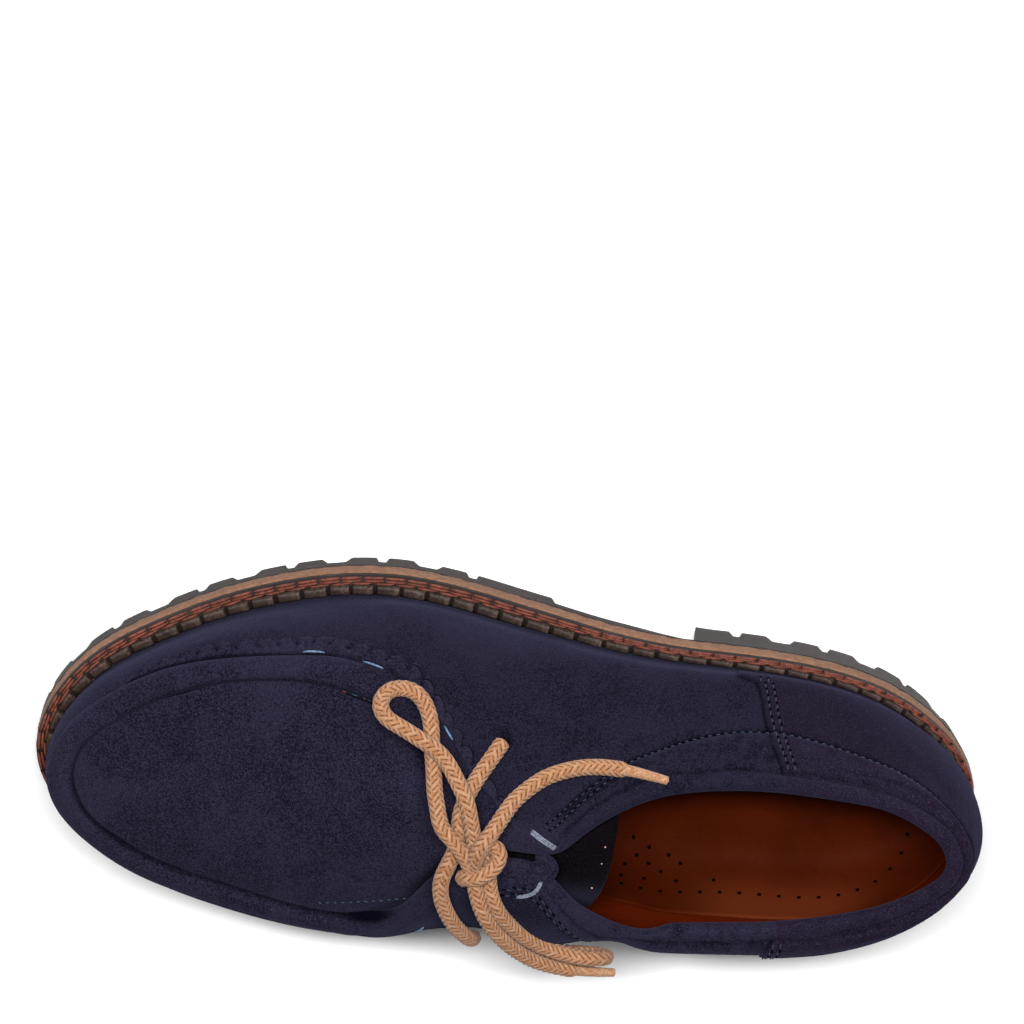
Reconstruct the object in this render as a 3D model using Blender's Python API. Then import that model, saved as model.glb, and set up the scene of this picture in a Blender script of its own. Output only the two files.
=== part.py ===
"""A right-foot moccasin-toe lace-up shoe: lugged sole, midsole, storm welt, hollow upper, tongue,
footbed and a tied round lace.

The shoe stands on its sole with +X to the toe, +Y to the inner (medial) side and +Z up.
Tables and sizes are in millimetres and are multiplied by MM when a mesh is made.
"""

import math
from collections import namedtuple

import bmesh
import bpy
import numpy as np
from mathutils import Matrix

MM = 0.001
MIDDLE = (1.475, -0.173)    # centre of the sole's box in the tables' own axes

# Layers of the sole, from the floor up.
TREAD_TOP = 7.5            # top of the rubber under the ball of the foot
HEEL_RISE = 9.5            # how much higher the rubber's top lies at the heel
RISE_FROM, RISE_TO = -5.0, -57.0
TOE_SPRING = 11.0          # lift of the toe tip
SPRING_FROM, TOE_TIP = 60.0, 146.0
BASE_RUBBER = 3.5          # rubber left above the lugs and at the waist
HEEL_BREAST = -54.0
HEEL_TAPER = 2.0           # how far the heel draws in towards the floor
FORE_LUGS_END = -10.0
MIDSOLE = 5.4
GAP = 0.3                  # clearance between pieces that touch
SEAT = 0.55                # the same under the upper, whose facets cross the midsole's
WELT_EDGE = 0.4            # how far the welt's edge lies inside the sole's edge
WELT_THICK = 2.6
WELT_RIDGE = 1.5           # storm ridge above the welt, against the upper
WELT_RIDGE_WIDE = 1.8
WELT_FRONT, WELT_HEEL = 7.0, 4.6   # sole edge to upper, at the ball and at the heel

# Upper.
LEATHER = 2.4              # wall, lining included
COLLAR_THICK = 5.0         # padded collar
COLLAR_PAD_DEEP = 20.0
ROLL_HIGH, ROLL_WIDE = 3.0, 10.5   # raised seam round the apron
BAND_HIGH, BAND_WIDE = 1.1, 14.0   # stitched band outside the roll and along the throat
COUNTER_HIGH = 0.9         # heel counter, laid on the quarters
STAND_FROM, STAND_TO = 2.0, 12.0    # the wall stands upright behind the welt, then leans out or in
BELLY_AT, SHOULDER_AT = 0.38, 0.84  # heights of the section's inner points, as shares of its height
WELT_BAND = 5.0            # the wall's plain foot behind the welt
APRON_THICK = 2.2
TONGUE_THICK = 3.0
TONGUE_FRONT = 12.0        # where the apron ends and the tongue goes on
APRON_FRONT = 135.0

# Footbed.
FOOTBED = 4.0
BED_SEAT = 0.25            # how much higher than the upper's foot it lies
FOOTBED_CUP = 7.0
FOOT_BAND = 12.0           # the lowest part of the wall, straight in section, that the footbed fits

# Lugs: pitch along the sole's edge, notch widths and depths.
LUG_PITCH = 14.1
NOTCH_NARROW, NOTCH_WIDE = 2.4, 5.6
NOTCH_DEEP = 4.0
EDGE_LUG = 14.0
CHANNEL = 3.4

LACE = 4.6

STATIONS = 72              # sections round the shoe
TREAD_STATIONS = 72

# One row for each section round the shoe, from the middle of the heel along the outer side to the
# toe and back along the inner side: the sole's edge, how far inside it the wall lies at its belly
# and at its shoulder, and the upper's top edge (collar, throat flap or apron groove).
Section = namedtuple("Section", "sole_x sole_y belly_in shoulder_in top_x top_y top_z")
SECTIONS = [
    Section(-143.0, 4.5, 1.0, 4.2, -134.5, 5.0, 74.0),
    Section(-138.3, -9.0, 1.5, 5.5, -131.0, -4.0, 73.5),
    Section(-128.5, -20.0, 2.6, 8.0, -122.5, -10.5, 72.8),
    Section(-115.0, -28.8, 3.8, 11.0, -111.5, -15.0, 71.8),
    Section(-95.0, -35.3, 4.6, 15.5, -94.0, -17.5, 70.4),
    Section(-72.0, -38.4, 5.0, 17.6, -73.0, -18.5, 69.5),
    Section(-48.0, -39.8, 5.4, 19.0, -51.5, -17.0, 71.0),
    Section(-24.0, -41.8, 6.0, 23.0, -34.0, -12.5, 75.5),
    Section(-4.0, -46.0, 6.4, 28.0, -19.0, -2.5, 81.0),
    Section(12.0, -50.2, 6.4, 31.0, -9.0, 3.4, 84.0),
    Section(21.0, -52.2, 6.4, 31.0, 3.5, 3.6, 81.8),
    Section(29.0, -53.6, 6.4, 28.0, 15.8, 2.0, 79.0),
    Section(36.0, -54.4, 6.4, 22.0, 22.6, -10.5, 74.8),
    Section(43.0, -54.6, 6.6, 17.5, 31.0, -25.5, 67.6),
    Section(52.0, -54.2, 6.8, 13.8, 45.5, -32.0, 59.8),
    Section(70.0, -51.2, 6.2, 9.6, 66.0, -34.0, 54.6),
    Section(92.0, -44.8, 5.0, 6.6, 87.0, -31.4, 52.2),
    Section(112.0, -36.2, 4.6, 5.6, 105.0, -25.4, 51.0),
    Section(130.0, -25.6, 4.6, 5.6, 119.0, -17.0, 50.2),
    Section(141.5, -12.0, 4.6, 6.0, 128.5, -8.5, 49.8),
    Section(146.0, 4.5, 4.6, 6.2, 132.0, 3.0, 49.6),
    Section(141.8, 18.5, 4.6, 6.0, 128.0, 13.5, 49.8),
    Section(129.5, 31.5, 4.4, 5.6, 117.5, 22.4, 50.3),
    Section(110.0, 42.5, 4.0, 5.0, 102.0, 29.4, 51.0),
    Section(88.0, 49.2, 3.4, 4.4, 82.5, 34.4, 52.4),
    Section(66.0, 53.2, 2.6, 4.2, 62.5, 38.8, 54.8),
    Section(48.0, 54.2, 1.8, 4.2, 47.0, 39.4, 57.4),
    Section(37.0, 53.2, 1.6, 5.6, 34.5, 36.2, 63.6),
    Section(28.0, 51.4, 1.6, 9.0, 27.0, 26.0, 71.4),
    Section(19.0, 49.2, 1.6, 12.6, 18.0, 14.0, 77.8),
    Section(9.0, 46.8, 1.4, 12.6, 5.5, 9.4, 81.4),
    Section(-3.0, 44.4, 1.0, 9.0, -8.0, 9.6, 84.0),
    Section(-15.0, 42.6, 0.6, 2.6, -19.0, 23.5, 80.5),
    Section(-30.0, 41.2, 0.4, -1.6, -33.5, 33.5, 74.5),
    Section(-50.0, 41.4, 1.4, -0.6, -50.5, 34.4, 72.4),
    Section(-73.0, 43.0, 3.0, 1.6, -73.5, 33.2, 71.4),
    Section(-96.0, 42.6, 3.2, 3.4, -95.0, 29.6, 72.0),
    Section(-116.0, 37.6, 2.6, 4.6, -113.0, 24.2, 73.0),
    Section(-130.5, 28.4, 1.8, 4.8, -125.5, 17.4, 73.8),
    Section(-139.8, 16.6, 1.2, 4.4, -132.6, 11.4, 74.0),
]
HEEL_ROW, TOE_ROW = 0, 20

# Rows between which each part of the wall has its own form: the collar at the back, the flaps that
# meet over the tongue, and the apron's seam round the toe.  ROLL and COLLAR end in a soft step.
ROLL_ROWS = (13.6, 26.6)
BAND_ROWS = (8.7, 31.4)
COLLAR_ROWS = (8.4, 31.6)
COUNTER_ROWS = (4.9, 35.1)

# Cross-sections of apron and tongue, from the tongue's free end to the toe: outer edge, ridge, inner edge.
Arch = namedtuple("Arch", "x outer_y outer_z ridge_y ridge_z inner_y inner_z")
ARCHES = [
    Arch(-32.0, -9.0, 64.5, 10.0, 79.0, 29.0, 63.0),
    Arch(-20.0, -13.0, 62.5, 10.0, 78.2, 30.0, 61.0),
    Arch(-9.0, -19.0, 61.2, 9.0, 77.8, 32.5, 59.2),
    Arch(3.0, -24.5, 60.2, 8.2, 76.6, 35.5, 57.4),
    Arch(15.0, -28.0, 58.6, 8.0, 74.6, 37.5, 55.4),
    Arch(27.0, -31.0, 57.6, 8.0, 72.4, 39.6, 54.6),
    Arch(40.0, -35.0, 57.0, 7.5, 69.2, 42.5, 55.0),
    Arch(55.0, -36.4, 55.4, 7.0, 65.2, 42.8, 54.0),
    Arch(70.0, -36.6, 53.4, 6.2, 61.6, 40.4, 52.8),
    Arch(85.0, -34.6, 51.6, 5.2, 58.4, 37.0, 51.4),
    Arch(100.0, -30.2, 50.4, 4.4, 55.4, 32.8, 50.4),
    Arch(112.0, -25.2, 49.8, 3.8, 53.2, 27.8, 49.8),
    Arch(123.0, -17.8, 49.3, 3.4, 51.4, 21.4, 49.4),
    Arch(131.0, -9.4, 49.0, 3.0, 50.0, 13.6, 49.1),
    Arch(APRON_FRONT, 1.0, 48.8, 3.0, 49.0, 5.0, 48.8),
]

# Middle line of each run of lace.
LACE_RUNS = {
    "lace_bars": [(3.9, -26.6, 71.8), (8.1, -21.1, 75.9), (12.4, -15.0, 79.7), (15.6, -6.5, 83.3),
                  (15.9, 1.5, 83.6), (17.7, 8.0, 83.4), (20.0, 15.0, 82.8), (19.8, 21.0, 81.6),
                  (17.6, 27.5, 79.4), (14.6, 33.5, 75.9), (11.5, 38.2, 71.6), (9.6, 41.0, 67.2),
                  (8.9, 41.8, 63.6)],
    "lace_loop_outer": [(9.0, 2.4, 86.4), (9.8, -3.5, 86.6), (12.2, -11.5, 86.9), (16.0, -17.5, 83.9),
                        (22.0, -23.8, 79.0), (28.5, -27.0, 76.6), (35.5, -28.6, 71.4), (40.6, -30.9, 67.0),
                        (41.6, -35.0, 66.4), (36.0, -38.8, 64.4), (30.8, -38.3, 63.4), (27.3, -35.0, 65.8),
                        (25.6, -29.9, 70.3), (25.0, -24.2, 73.8), (24.3, -18.8, 77.3), (23.6, -13.0, 79.8),
                        (21.9, -7.5, 83.0), (19.2, -3.0, 87.4), (15.6, 2.2, 89.2)],
    "lace_end_outer": [(4.4, 1.6, 85.1), (4.0, -4.5, 85.1), (1.6, -11.2, 82.8), (-5.5, -16.3, 79.0),
                       (-13.0, -19.3, 75.1), (-20.4, -20.6, 73.2), (-28.1, -20.9, 72.7), (-36.8, -19.6, 72.7),
                       (-45.2, -18.4, 74.2)],
    "lace_loop_inner": [(5.3, 18.4, 85.4), (4.4, 25.5, 83.4), (1.2, 33.0, 78.8), (-4.5, 39.0, 74.6),
                        (-13.0, 44.0, 70.8), (-23.0, 45.6, 69.9), (-31.0, 45.7, 69.4), (-34.4, 46.6, 66.5),
                        (-31.0, 47.6, 63.4), (-22.5, 47.5, 63.6), (-12.5, 46.6, 64.8), (-3.5, 43.2, 68.6)],
    "lace_end_inner": [(11.5, 18.2, 85.2), (10.2, 25.2, 83.8), (6.8, 33.6, 79.9), (0.5, 41.2, 75.6),
                       (-6.5, 46.8, 72.2), (-14.0, 49.6, 69.2), (-21.0, 52.0, 66.2), (-33.4, 53.2, 60.6)],
}
KNOT_AT, KNOT_SIZE = (8.3, 10.0, 86.3), (6.0, 4.6, 3.9)


# ---------------------------------------------------------------- smooth curves

def cubic_through(knots, values, at, period=None):
    """A natural cubic spline, or a closed one when a period is given."""
    knots = np.asarray(knots, float)
    values = np.asarray(values, float).reshape(len(knots), -1)
    if period is not None:
        knots = np.append(knots, knots[0] + period)
        values = np.vstack([values, values[:1]])
        at = knots[0] + np.mod(np.asarray(at, float) - knots[0], period)
    count = len(knots)
    step = np.diff(knots)
    slope = np.diff(values, axis=0) / step[:, None]
    system = np.zeros((count, count))
    right = np.zeros_like(values)
    for i in range(1, count - 1):
        system[i, i - 1 : i + 2] = step[i - 1], 2 * (step[i - 1] + step[i]), step[i]
        right[i] = 6 * (slope[i] - slope[i - 1])
    if period is None:
        system[0, 0] = system[-1, -1] = 1
    else:
        system[0, [0, -1]] = 1, -1
        system[-1, [0, 1, -2, -1]] = 2 * step[0], step[0], step[-1], 2 * step[-1]
        right[-1] = 6 * (slope[0] - slope[-1])
    bend = np.linalg.solve(system, right)
    at = np.asarray(at, float)
    i = np.clip(np.searchsorted(knots, at, side="right") - 1, 0, count - 2)
    h = step[i][:, None]
    a = (knots[i + 1] - at)[:, None] / h
    b = 1 - a
    return a * values[i] + b * values[i + 1] + ((a**3 - a) * bend[i] + (b**3 - b) * bend[i + 1]) * h**2 / 6


def smooth_step(x, start, end):
    t = np.clip((np.asarray(x, float) - start) / (end - start), 0, 1)
    return t * t * (3 - 2 * t)


ROWS = np.array(SECTIONS, float)
EDGE_RUN = np.linalg.norm(np.roll(ROWS[:, :2], -1, axis=0) - ROWS[:, :2], axis=1)
KNOTS = np.concatenate([[0], np.cumsum(EDGE_RUN)[:-1]])
PERIMETER = EDGE_RUN.sum()


def row_run(row):
    """Distance along the sole's edge of a place given in rows, such as 4.5 for halfway from row 4 to 5."""
    return np.interp(row, np.arange(len(ROWS) + 1), np.append(KNOTS, PERIMETER))


def section_values(run):
    return cubic_through(KNOTS, ROWS, run, PERIMETER)


def between(run, rows, soft):
    """1 between two places round the shoe and 0 beyond them, with a soft step of that many millimetres."""
    first, last = row_run(rows[0]), row_run(rows[1])
    return smooth_step(run, first - soft / 2, first + soft / 2) * (1 - smooth_step(run, last - soft / 2, last + soft / 2))


# ---------------------------------------------------------------- levels of the sole

def spring(x):
    return TOE_SPRING * np.clip((np.asarray(x, float) - SPRING_FROM) / (TOE_TIP - SPRING_FROM), 0, None) ** 2


def rubber_top(x):
    x = np.asarray(x, float)
    return TREAD_TOP + spring(x) + HEEL_RISE * smooth_step(-x, -RISE_FROM, -RISE_TO)


def midsole_bottom(x):
    return rubber_top(x) + GAP


def midsole_top(x):
    return midsole_bottom(x) + MIDSOLE


def upper_bottom(x):
    return midsole_top(x) + SEAT


def welt_wide(x):
    return WELT_HEEL + (WELT_FRONT - WELT_HEEL) * smooth_step(x, -60, 10)


# ---------------------------------------------------------------- meshes

def link(obj, collection):
    collection.objects.link(obj)
    return obj


def mesh_object(name, points, faces, collection):
    mesh = bpy.data.meshes.new(name)
    mesh.from_pydata([tuple(p) for p in np.asarray(points) * MM], [], faces)
    bm = bmesh.new()
    bm.from_mesh(mesh)
    bmesh.ops.triangulate(bm, faces=[f for f in bm.faces if len(f.verts) > 4])
    bmesh.ops.recalc_face_normals(bm, faces=bm.faces)
    bm.to_mesh(mesh)
    bm.free()
    return link(bpy.data.objects.new(name, mesh), collection)


def skin(name, rings, collection, tube=False):
    """A closed solid through closed rings of equal counts; a tube joins the last ring to the first."""
    rings = np.asarray(rings, float)
    count, around = rings.shape[:2]
    faces = []
    for k in range(count if tube else count - 1):
        a, b = k * around, (k + 1) % count * around
        for i in range(around):
            j = (i + 1) % around
            faces.append((a + i, a + j, b + j, b + i))
    if not tube:
        faces.append(tuple(range(around))[::-1])
        faces.append(tuple(range((count - 1) * around, count * around)))
    return mesh_object(name, rings.reshape(-1, 3), faces, collection)


def shell(name, outside, inside, collection):
    """A closed solid between two open grids of points of the same size."""
    rows, columns = outside.shape[:2]
    grid = np.arange(rows * columns).reshape(rows, columns)
    other = grid + rows * columns
    faces = []
    for i in range(rows - 1):
        for j in range(columns - 1):
            faces.append((grid[i, j], grid[i, j + 1], grid[i + 1, j + 1], grid[i + 1, j]))
            faces.append((other[i, j], other[i + 1, j], other[i + 1, j + 1], other[i, j + 1]))
    rim = [*grid[0, :-1], *grid[:-1, -1], *grid[-1, :0:-1], *grid[:0:-1, 0]]
    for a, b in zip(rim, rim[1:] + rim[:1]):
        faces.append((b, a, a + rows * columns, b + rows * columns))
    return mesh_object(name, np.concatenate([outside.reshape(-1, 3), inside.reshape(-1, 3)]), faces, collection)


def boolean(obj, other, operation):
    modifier = obj.modifiers.new(other.name, "BOOLEAN")
    modifier.operation = operation
    modifier.object = other
    modifier.solver = "EXACT"
    modifier.use_self = True
    return modifier


def helper(obj):
    obj.hide_render = True
    obj.display_type = "WIRE"
    return obj


def material(name, colour, roughness, metallic=0.0):
    made = bpy.data.materials.new(name)
    made.use_nodes = True
    shader = made.node_tree.nodes["Principled BSDF"]
    shader.inputs["Base Color"].default_value = (*colour, 1)
    shader.inputs["Roughness"].default_value = roughness
    shader.inputs["Metallic"].default_value = metallic
    return made


# ---------------------------------------------------------------- plates that follow the sole's outline

def edge_ring(run, inset):
    """Points that far inside the sole's edge, square to it."""
    at = section_values(run)[:, :2]
    ahead = section_values(run + 0.5)[:, :2] - section_values(run - 0.5)[:, :2]
    ahead /= np.linalg.norm(ahead, axis=1)[:, None]
    inward = np.stack([-ahead[:, 1], ahead[:, 0]], axis=1)
    return at + inward * np.reshape(inset, (-1, 1))


def spine(xy):
    """For each edge point, the point of the foot's middle line that it closes to."""
    x = np.clip(xy[:, 0], -105, 105)
    run = np.linspace(0, PERIMETER, 400, endpoint=False)
    edge = section_values(run)
    split = row_run(TOE_ROW)
    outer = edge[run <= split]
    inner = edge[run > split][::-1]
    middle = (np.interp(x, outer[:, 0], outer[:, 1]) + np.interp(x, inner[:, 0], inner[:, 1])) / 2
    return np.stack([x, middle], axis=1)


def plate_rings(xy, height, shares):
    """Rings that close an outline towards its spine, at the height given by a function of x and share."""
    centre = spine(xy)
    rings = []
    for share in shares:
        at = centre + share * (xy - centre)
        rings.append(np.column_stack([at, height(at[:, 0], share)]))
    return rings


def even_runs(count, extra=()):
    runs = np.arange(count) * PERIMETER / count
    if len(extra):
        runs = np.array([r for r in runs if min(abs(r - e) for e in extra) > 2.2])
    return np.sort(np.concatenate([runs, extra]))


def make_midsole(collection):
    run = even_runs(STATIONS)
    low = edge_ring(run, 0.0)
    high = edge_ring(run, 0.2)
    shares = (0.35, 0.7)
    rings = plate_rings(low, lambda x, share: midsole_bottom(x), shares)
    rings.append(np.column_stack([low, midsole_bottom(low[:, 0])]))
    rings.append(np.column_stack([high, midsole_top(high[:, 0])]))
    rings += plate_rings(high, lambda x, share: midsole_top(x), shares[::-1])
    return skin("midsole", rings, collection)


def make_welt(collection):
    """A strip on the midsole's edge with a raised ridge along the upper; its section, round the shoe."""
    run = even_runs(STATIONS)
    x = edge_ring(run, 0.0)[:, 0]
    wide = welt_wide(x) - 2 * GAP
    section = [
        (WELT_EDGE, 0.0),
        (WELT_EDGE + 0.2, WELT_THICK),
        (-WELT_RIDGE_WIDE, WELT_THICK - 0.2),
        (-WELT_RIDGE_WIDE + 0.3, WELT_THICK + WELT_RIDGE),
        (-0.2, WELT_THICK + WELT_RIDGE),
        (-0.0, 0.0),
    ]
    rings = []
    for k, (inset, up) in enumerate(section):
        inset = inset if k < 2 else wide + inset
        xy = edge_ring(run, np.broadcast_to(inset, run.shape))
        rings.append(np.column_stack([xy, midsole_top(xy[:, 0]) + GAP + up]))
    return skin("welt", rings, collection, tube=True)


# ---------------------------------------------------------------- outsole

def make_outsole(collection, cutters):
    """A rubber slab with heel, arch and toe spring, with its lugs cut into it from below."""
    run = even_runs(TREAD_STATIONS)
    outline = edge_ring(run, 0.0)
    heel = HEEL_TAPER * smooth_step(-outline[:, 0], 30, 62)
    tuck = edge_ring(run, 0.5 + heel)
    side = edge_ring(run, 0.9 * heel)
    shares = (0.35, 0.7)

    def bottom(x, share=1):
        return spring(x)

    rings = plate_rings(tuck, bottom, shares)
    rings.append(np.column_stack([tuck, bottom(tuck[:, 0])]))
    rings.append(np.column_stack([side, bottom(side[:, 0]) + 1.2]))
    rings.append(np.column_stack([outline, rubber_top(outline[:, 0])]))
    rings += plate_rings(outline, lambda x, share: rubber_top(x), shares[::-1])
    sole = skin("outsole", rings, collection)
    boolean(sole, arch_cutter(cutters), "DIFFERENCE")
    boolean(sole, channel_cutter(cutters), "DIFFERENCE")
    boolean(sole, notch_cutter(cutters), "DIFFERENCE")
    boolean(sole, bar_cutter(cutters), "DIFFERENCE")
    return sole


def arch_cutter(cutters):
    """The hollow under the waist, from the heel's breast to the last lugs of the forefoot."""
    x = np.array([FORE_LUGS_END, -16, -24, -34, -44, HEEL_BREAST])
    top = rubber_top(x) - BASE_RUBBER
    top[0] = BASE_RUBBER * 0.9
    rings = []
    for y in (-70.0, 70.0):
        low = np.column_stack([x[::-1], np.full(len(x), y), np.full(len(x), -5.0)])
        rings.append(np.concatenate([np.column_stack([x, np.full(len(x), y), top]), low]))
    return helper(skin("waist_cutter", rings, cutters))


def lug_ceiling(x):
    """The level that the notches and channels reach up to."""
    return spring(x) + NOTCH_DEEP


def channel_cutter(cutters):
    """The groove that parts the edge lugs from the middle ones, as a ring under the whole sole."""
    run = even_runs(48)
    rings = []
    for inset, top in ((EDGE_LUG, False), (EDGE_LUG, True), (EDGE_LUG + CHANNEL, True), (EDGE_LUG + CHANNEL, False)):
        xy = edge_ring(run, np.full(len(run), inset))
        z = lug_ceiling(xy[:, 0]) - 0.4 if top else np.full(len(run), -3.0)
        rings.append(np.column_stack([xy, z]))
    return helper(skin("channel_cutter", rings, cutters, tube=True))


def box_points(size, matrix):
    corners = [(x, y, z) for x in (-0.5, 0.5) for y in (-0.5, 0.5) for z in (-0.5, 0.5)]
    return [matrix @ Matrix.Diagonal((*size, 1)) @ Matrix.Translation(c) for c in corners]


def boxes(name, placed, cutters):
    """One mesh of separate boxes, each given by its size, its centre and its turn about Z."""
    mesh = bpy.data.meshes.new(name)
    bm = bmesh.new()
    for size, centre, turn in placed:
        place = Matrix.Translation([c * MM for c in centre]) @ Matrix.Rotation(turn, 4, "Z")
        bmesh.ops.create_cube(bm, size=1, matrix=place @ Matrix.Diagonal((*[s * MM for s in size], 1)))
    bm.to_mesh(mesh)
    bm.free()
    return helper(link(bpy.data.objects.new(name, mesh), cutters))


def lug_places():
    """Run along the sole's edge and width of each notch, narrow and wide in turn."""
    places = []
    fore = np.arange(row_run(9.35), row_run(31.2), LUG_PITCH)
    heel = np.arange(row_run(5.2), row_run(35.2) - PERIMETER, -LUG_PITCH)
    for runs in (fore, heel):
        places += [(run, NOTCH_WIDE if i % 2 else NOTCH_NARROW) for i, run in enumerate(runs)]
    return places


def notch_cutter(cutters):
    placed = []
    for run, wide in lug_places():
        at = edge_ring(np.array([run]), EDGE_LUG / 2 - 1)[0]
        out = edge_ring(np.array([run]), 0.0)[0]
        turn = math.atan2(at[1] - out[1], at[0] - out[0])
        top = float(lug_ceiling(at[0]))
        tall = top + 4
        placed.append(((EDGE_LUG + 6, wide, tall), (at[0], at[1], top - tall / 2), turn))
    return boxes("notch_cutter", placed, cutters)


def bar_cutter(cutters):
    """Grooves across the middle of the forefoot and of the heel."""
    placed = []
    for x in (4, 22, 40, 58, 76, 94, 111):
        centre = spine(np.array([[x, 0.0]]))[0]
        half = 22 if x < 90 else 14
        top = float(lug_ceiling(x)) - 0.8
        placed.append(((3.2, 2 * half, top + 4), (centre[0], centre[1], top / 2 - 2), math.radians(8)))
    for x in (-78, -96, -113):
        placed.append(((3.2, 34, NOTCH_DEEP + 3.2), (x, 2.5, (NOTCH_DEEP - 4.8) / 2), 0.0))
    return boxes("bar_cutter", placed, cutters)


# ---------------------------------------------------------------- upper

def wall_sections(run, from_top):
    """The wall's outer surface before its raised parts, and its outward direction.

    For each section and each distance from the top edge along the wall it gives the point and the
    unit normal in the section's own upright plane, and the length of the section's curve.
    """
    values = section_values(run)
    wide = welt_wide(values[:, 0])
    foot, top = edge_ring(run, wide), values[:, 4:6]
    inward = top - foot
    reach = np.linalg.norm(inward, axis=1)
    inward /= reach[:, None]
    low = upper_bottom(foot[:, 0])
    tall = values[:, 6] - low
    r = np.stack([0 * reach, values[:, 2] - wide, values[:, 3] - wide, reach], axis=1)
    z = np.stack([low, low + BELLY_AT * tall, low + SHOULDER_AT * tall, values[:, 6]], axis=1)
    chord = np.hypot(np.diff(r, axis=1), np.diff(z, axis=1))
    t = np.concatenate([np.zeros((len(run), 1)), np.cumsum(chord, axis=1)], axis=1)
    t /= t[:, -1:]
    powers = t[:, :, None] ** np.arange(4)
    factors = np.linalg.solve(powers, np.stack([r, z], axis=2))
    fine = np.linspace(0, 1, 161)
    curve = np.einsum("kp,spc->skc", fine[:, None] ** np.arange(4), factors)
    length = np.concatenate([np.zeros((len(run), 1)),
                             np.cumsum(np.linalg.norm(np.diff(curve, axis=1), axis=2), axis=1)], axis=1)
    whole = length[:, -1]
    points, normals = [], []
    for s in range(len(run)):
        want = np.clip(whole[s] - from_top[s], 0, whole[s])
        u = np.interp(want, length[s], fine)
        at = (u[:, None] ** np.arange(4)) @ factors[s]
        at[:, 0] *= smooth_step(at[:, 1] - low[s], STAND_FROM, STAND_TO)
        slope = (np.arange(1, 4) * u[:, None] ** np.arange(3)) @ factors[s][1:]
        slope /= np.linalg.norm(slope, axis=1)[:, None]
        normal = np.stack([-slope[:, 1], slope[:, 0]], axis=1)
        points.append(at)
        normals.append(normal)
    return (foot, inward), np.array(points), np.array(normals), whole


def to_space(plane, flat):
    """From (inward distance, height) in each section's plane to points in space."""
    foot, inward = plane
    xy = foot[:, None, :] + inward[:, None, :] * flat[..., :1]
    return np.concatenate([xy, flat[..., 1:]], axis=2)


def raised(run, d):
    """How far the roll, the band, the counter and the padded collar stand out at distance d from the top."""
    roll = between(run, ROLL_ROWS, 14)[:, None]
    band = between(run, BAND_ROWS, 10)[:, None]
    collar = 1 - between(run, COLLAR_ROWS, 24)[:, None]
    counter = 1 - between(run, COUNTER_ROWS, 1.0)[:, None]
    out = roll * ROLL_HIGH * np.sin(np.pi * np.clip(d / ROLL_WIDE, 0, 1)) ** 2
    out = out + band * BAND_HIGH * (1 - smooth_step(d, BAND_WIDE, BAND_WIDE + 0.8)) * smooth_step(d, -1, 3)
    puff = np.sin(np.pi * np.clip((d - 4) / 14, 0, 1))
    out = out + collar * 1.3 * puff
    return out + counter * COUNTER_HIGH * smooth_step(d, 3, 6)


def thickness(run, d):
    collar = 1 - between(run, COLLAR_ROWS, 24)[:, None]
    pad = 1 - smooth_step(d, 4, COLLAR_PAD_DEEP)
    return LEATHER + collar * (COLLAR_THICK - LEATHER) * pad


def inner_skin(run, d):
    """The inside of the wall, as (inward distance, height) in each section's plane."""
    _, base, normal, whole = wall_sections(run, d)
    inner = base - normal * thickness(run, d)[..., None]
    foot = np.isclose(d, whole[:, None])
    inner[..., 1] = np.where(foot, base[..., 1], inner[..., 1])
    return inner


def make_upper(collection, cutters):
    """The wall all round, rounded over at its free edge, joined to the apron that closes it over the toes."""
    steps = [row_run(r) + side for r in COUNTER_ROWS for side in (-0.55, 0.55)]
    run = even_runs(STATIONS, steps)
    probe = np.zeros((len(run), 1))
    whole = wall_sections(run, probe)[3]
    fixed = np.array([0.0, 2.8, 5.4, 8.0, 10.5, BAND_WIDE, BAND_WIDE + 0.8])
    room = whole - FOOT_BAND - fixed[-1]
    middle_rows = fixed[-1] + room[:, None] * np.array([0.35, 0.7])
    foot_rows = whole[:, None] - np.array([FOOT_BAND, WELT_BAND, 0.0])
    d_out = np.concatenate([np.broadcast_to(fixed, (len(run), len(fixed))), middle_rows, foot_rows], axis=1)
    plane, base, normal, _ = wall_sections(run, d_out)
    plain = smooth_step(whole[:, None] - d_out, WELT_BAND - 0.5, WELT_BAND + 2)
    outer = base + normal * (raised(run, d_out) * plain)[..., None]
    free = np.broadcast_to([0.0, 5.4, 11.0], (len(run), 3))
    inner = inner_skin(run, np.concatenate([free, middle_rows, foot_rows[:, [0, 2]]], axis=1))
    # The free edge is half a circle from the outer skin to the inner one.
    middle = (outer[:, 0] + inner[:, 0]) / 2
    half = (outer[:, 0] - inner[:, 0]) / 2
    ahead = np.stack([normal[:, 0, 1], -normal[:, 0, 0]], axis=1) * np.linalg.norm(half, axis=1)[:, None]
    nose = np.stack([middle + half * math.cos(a) + ahead * math.sin(a) for a in (math.pi / 4, math.pi / 2, 3 * math.pi / 4)], axis=1)
    flat = np.concatenate([outer[:, ::-1], nose, inner], axis=1)
    space = to_space(plane, flat)
    upper = skin("upper", space.transpose(1, 0, 2), collection, tube=True)
    apron = apron_solid("apron_part", TONGUE_FRONT, APRON_FRONT, APRON_THICK, 18, 13, cutters)
    boolean(upper, helper(apron), "UNION")
    return upper


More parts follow.
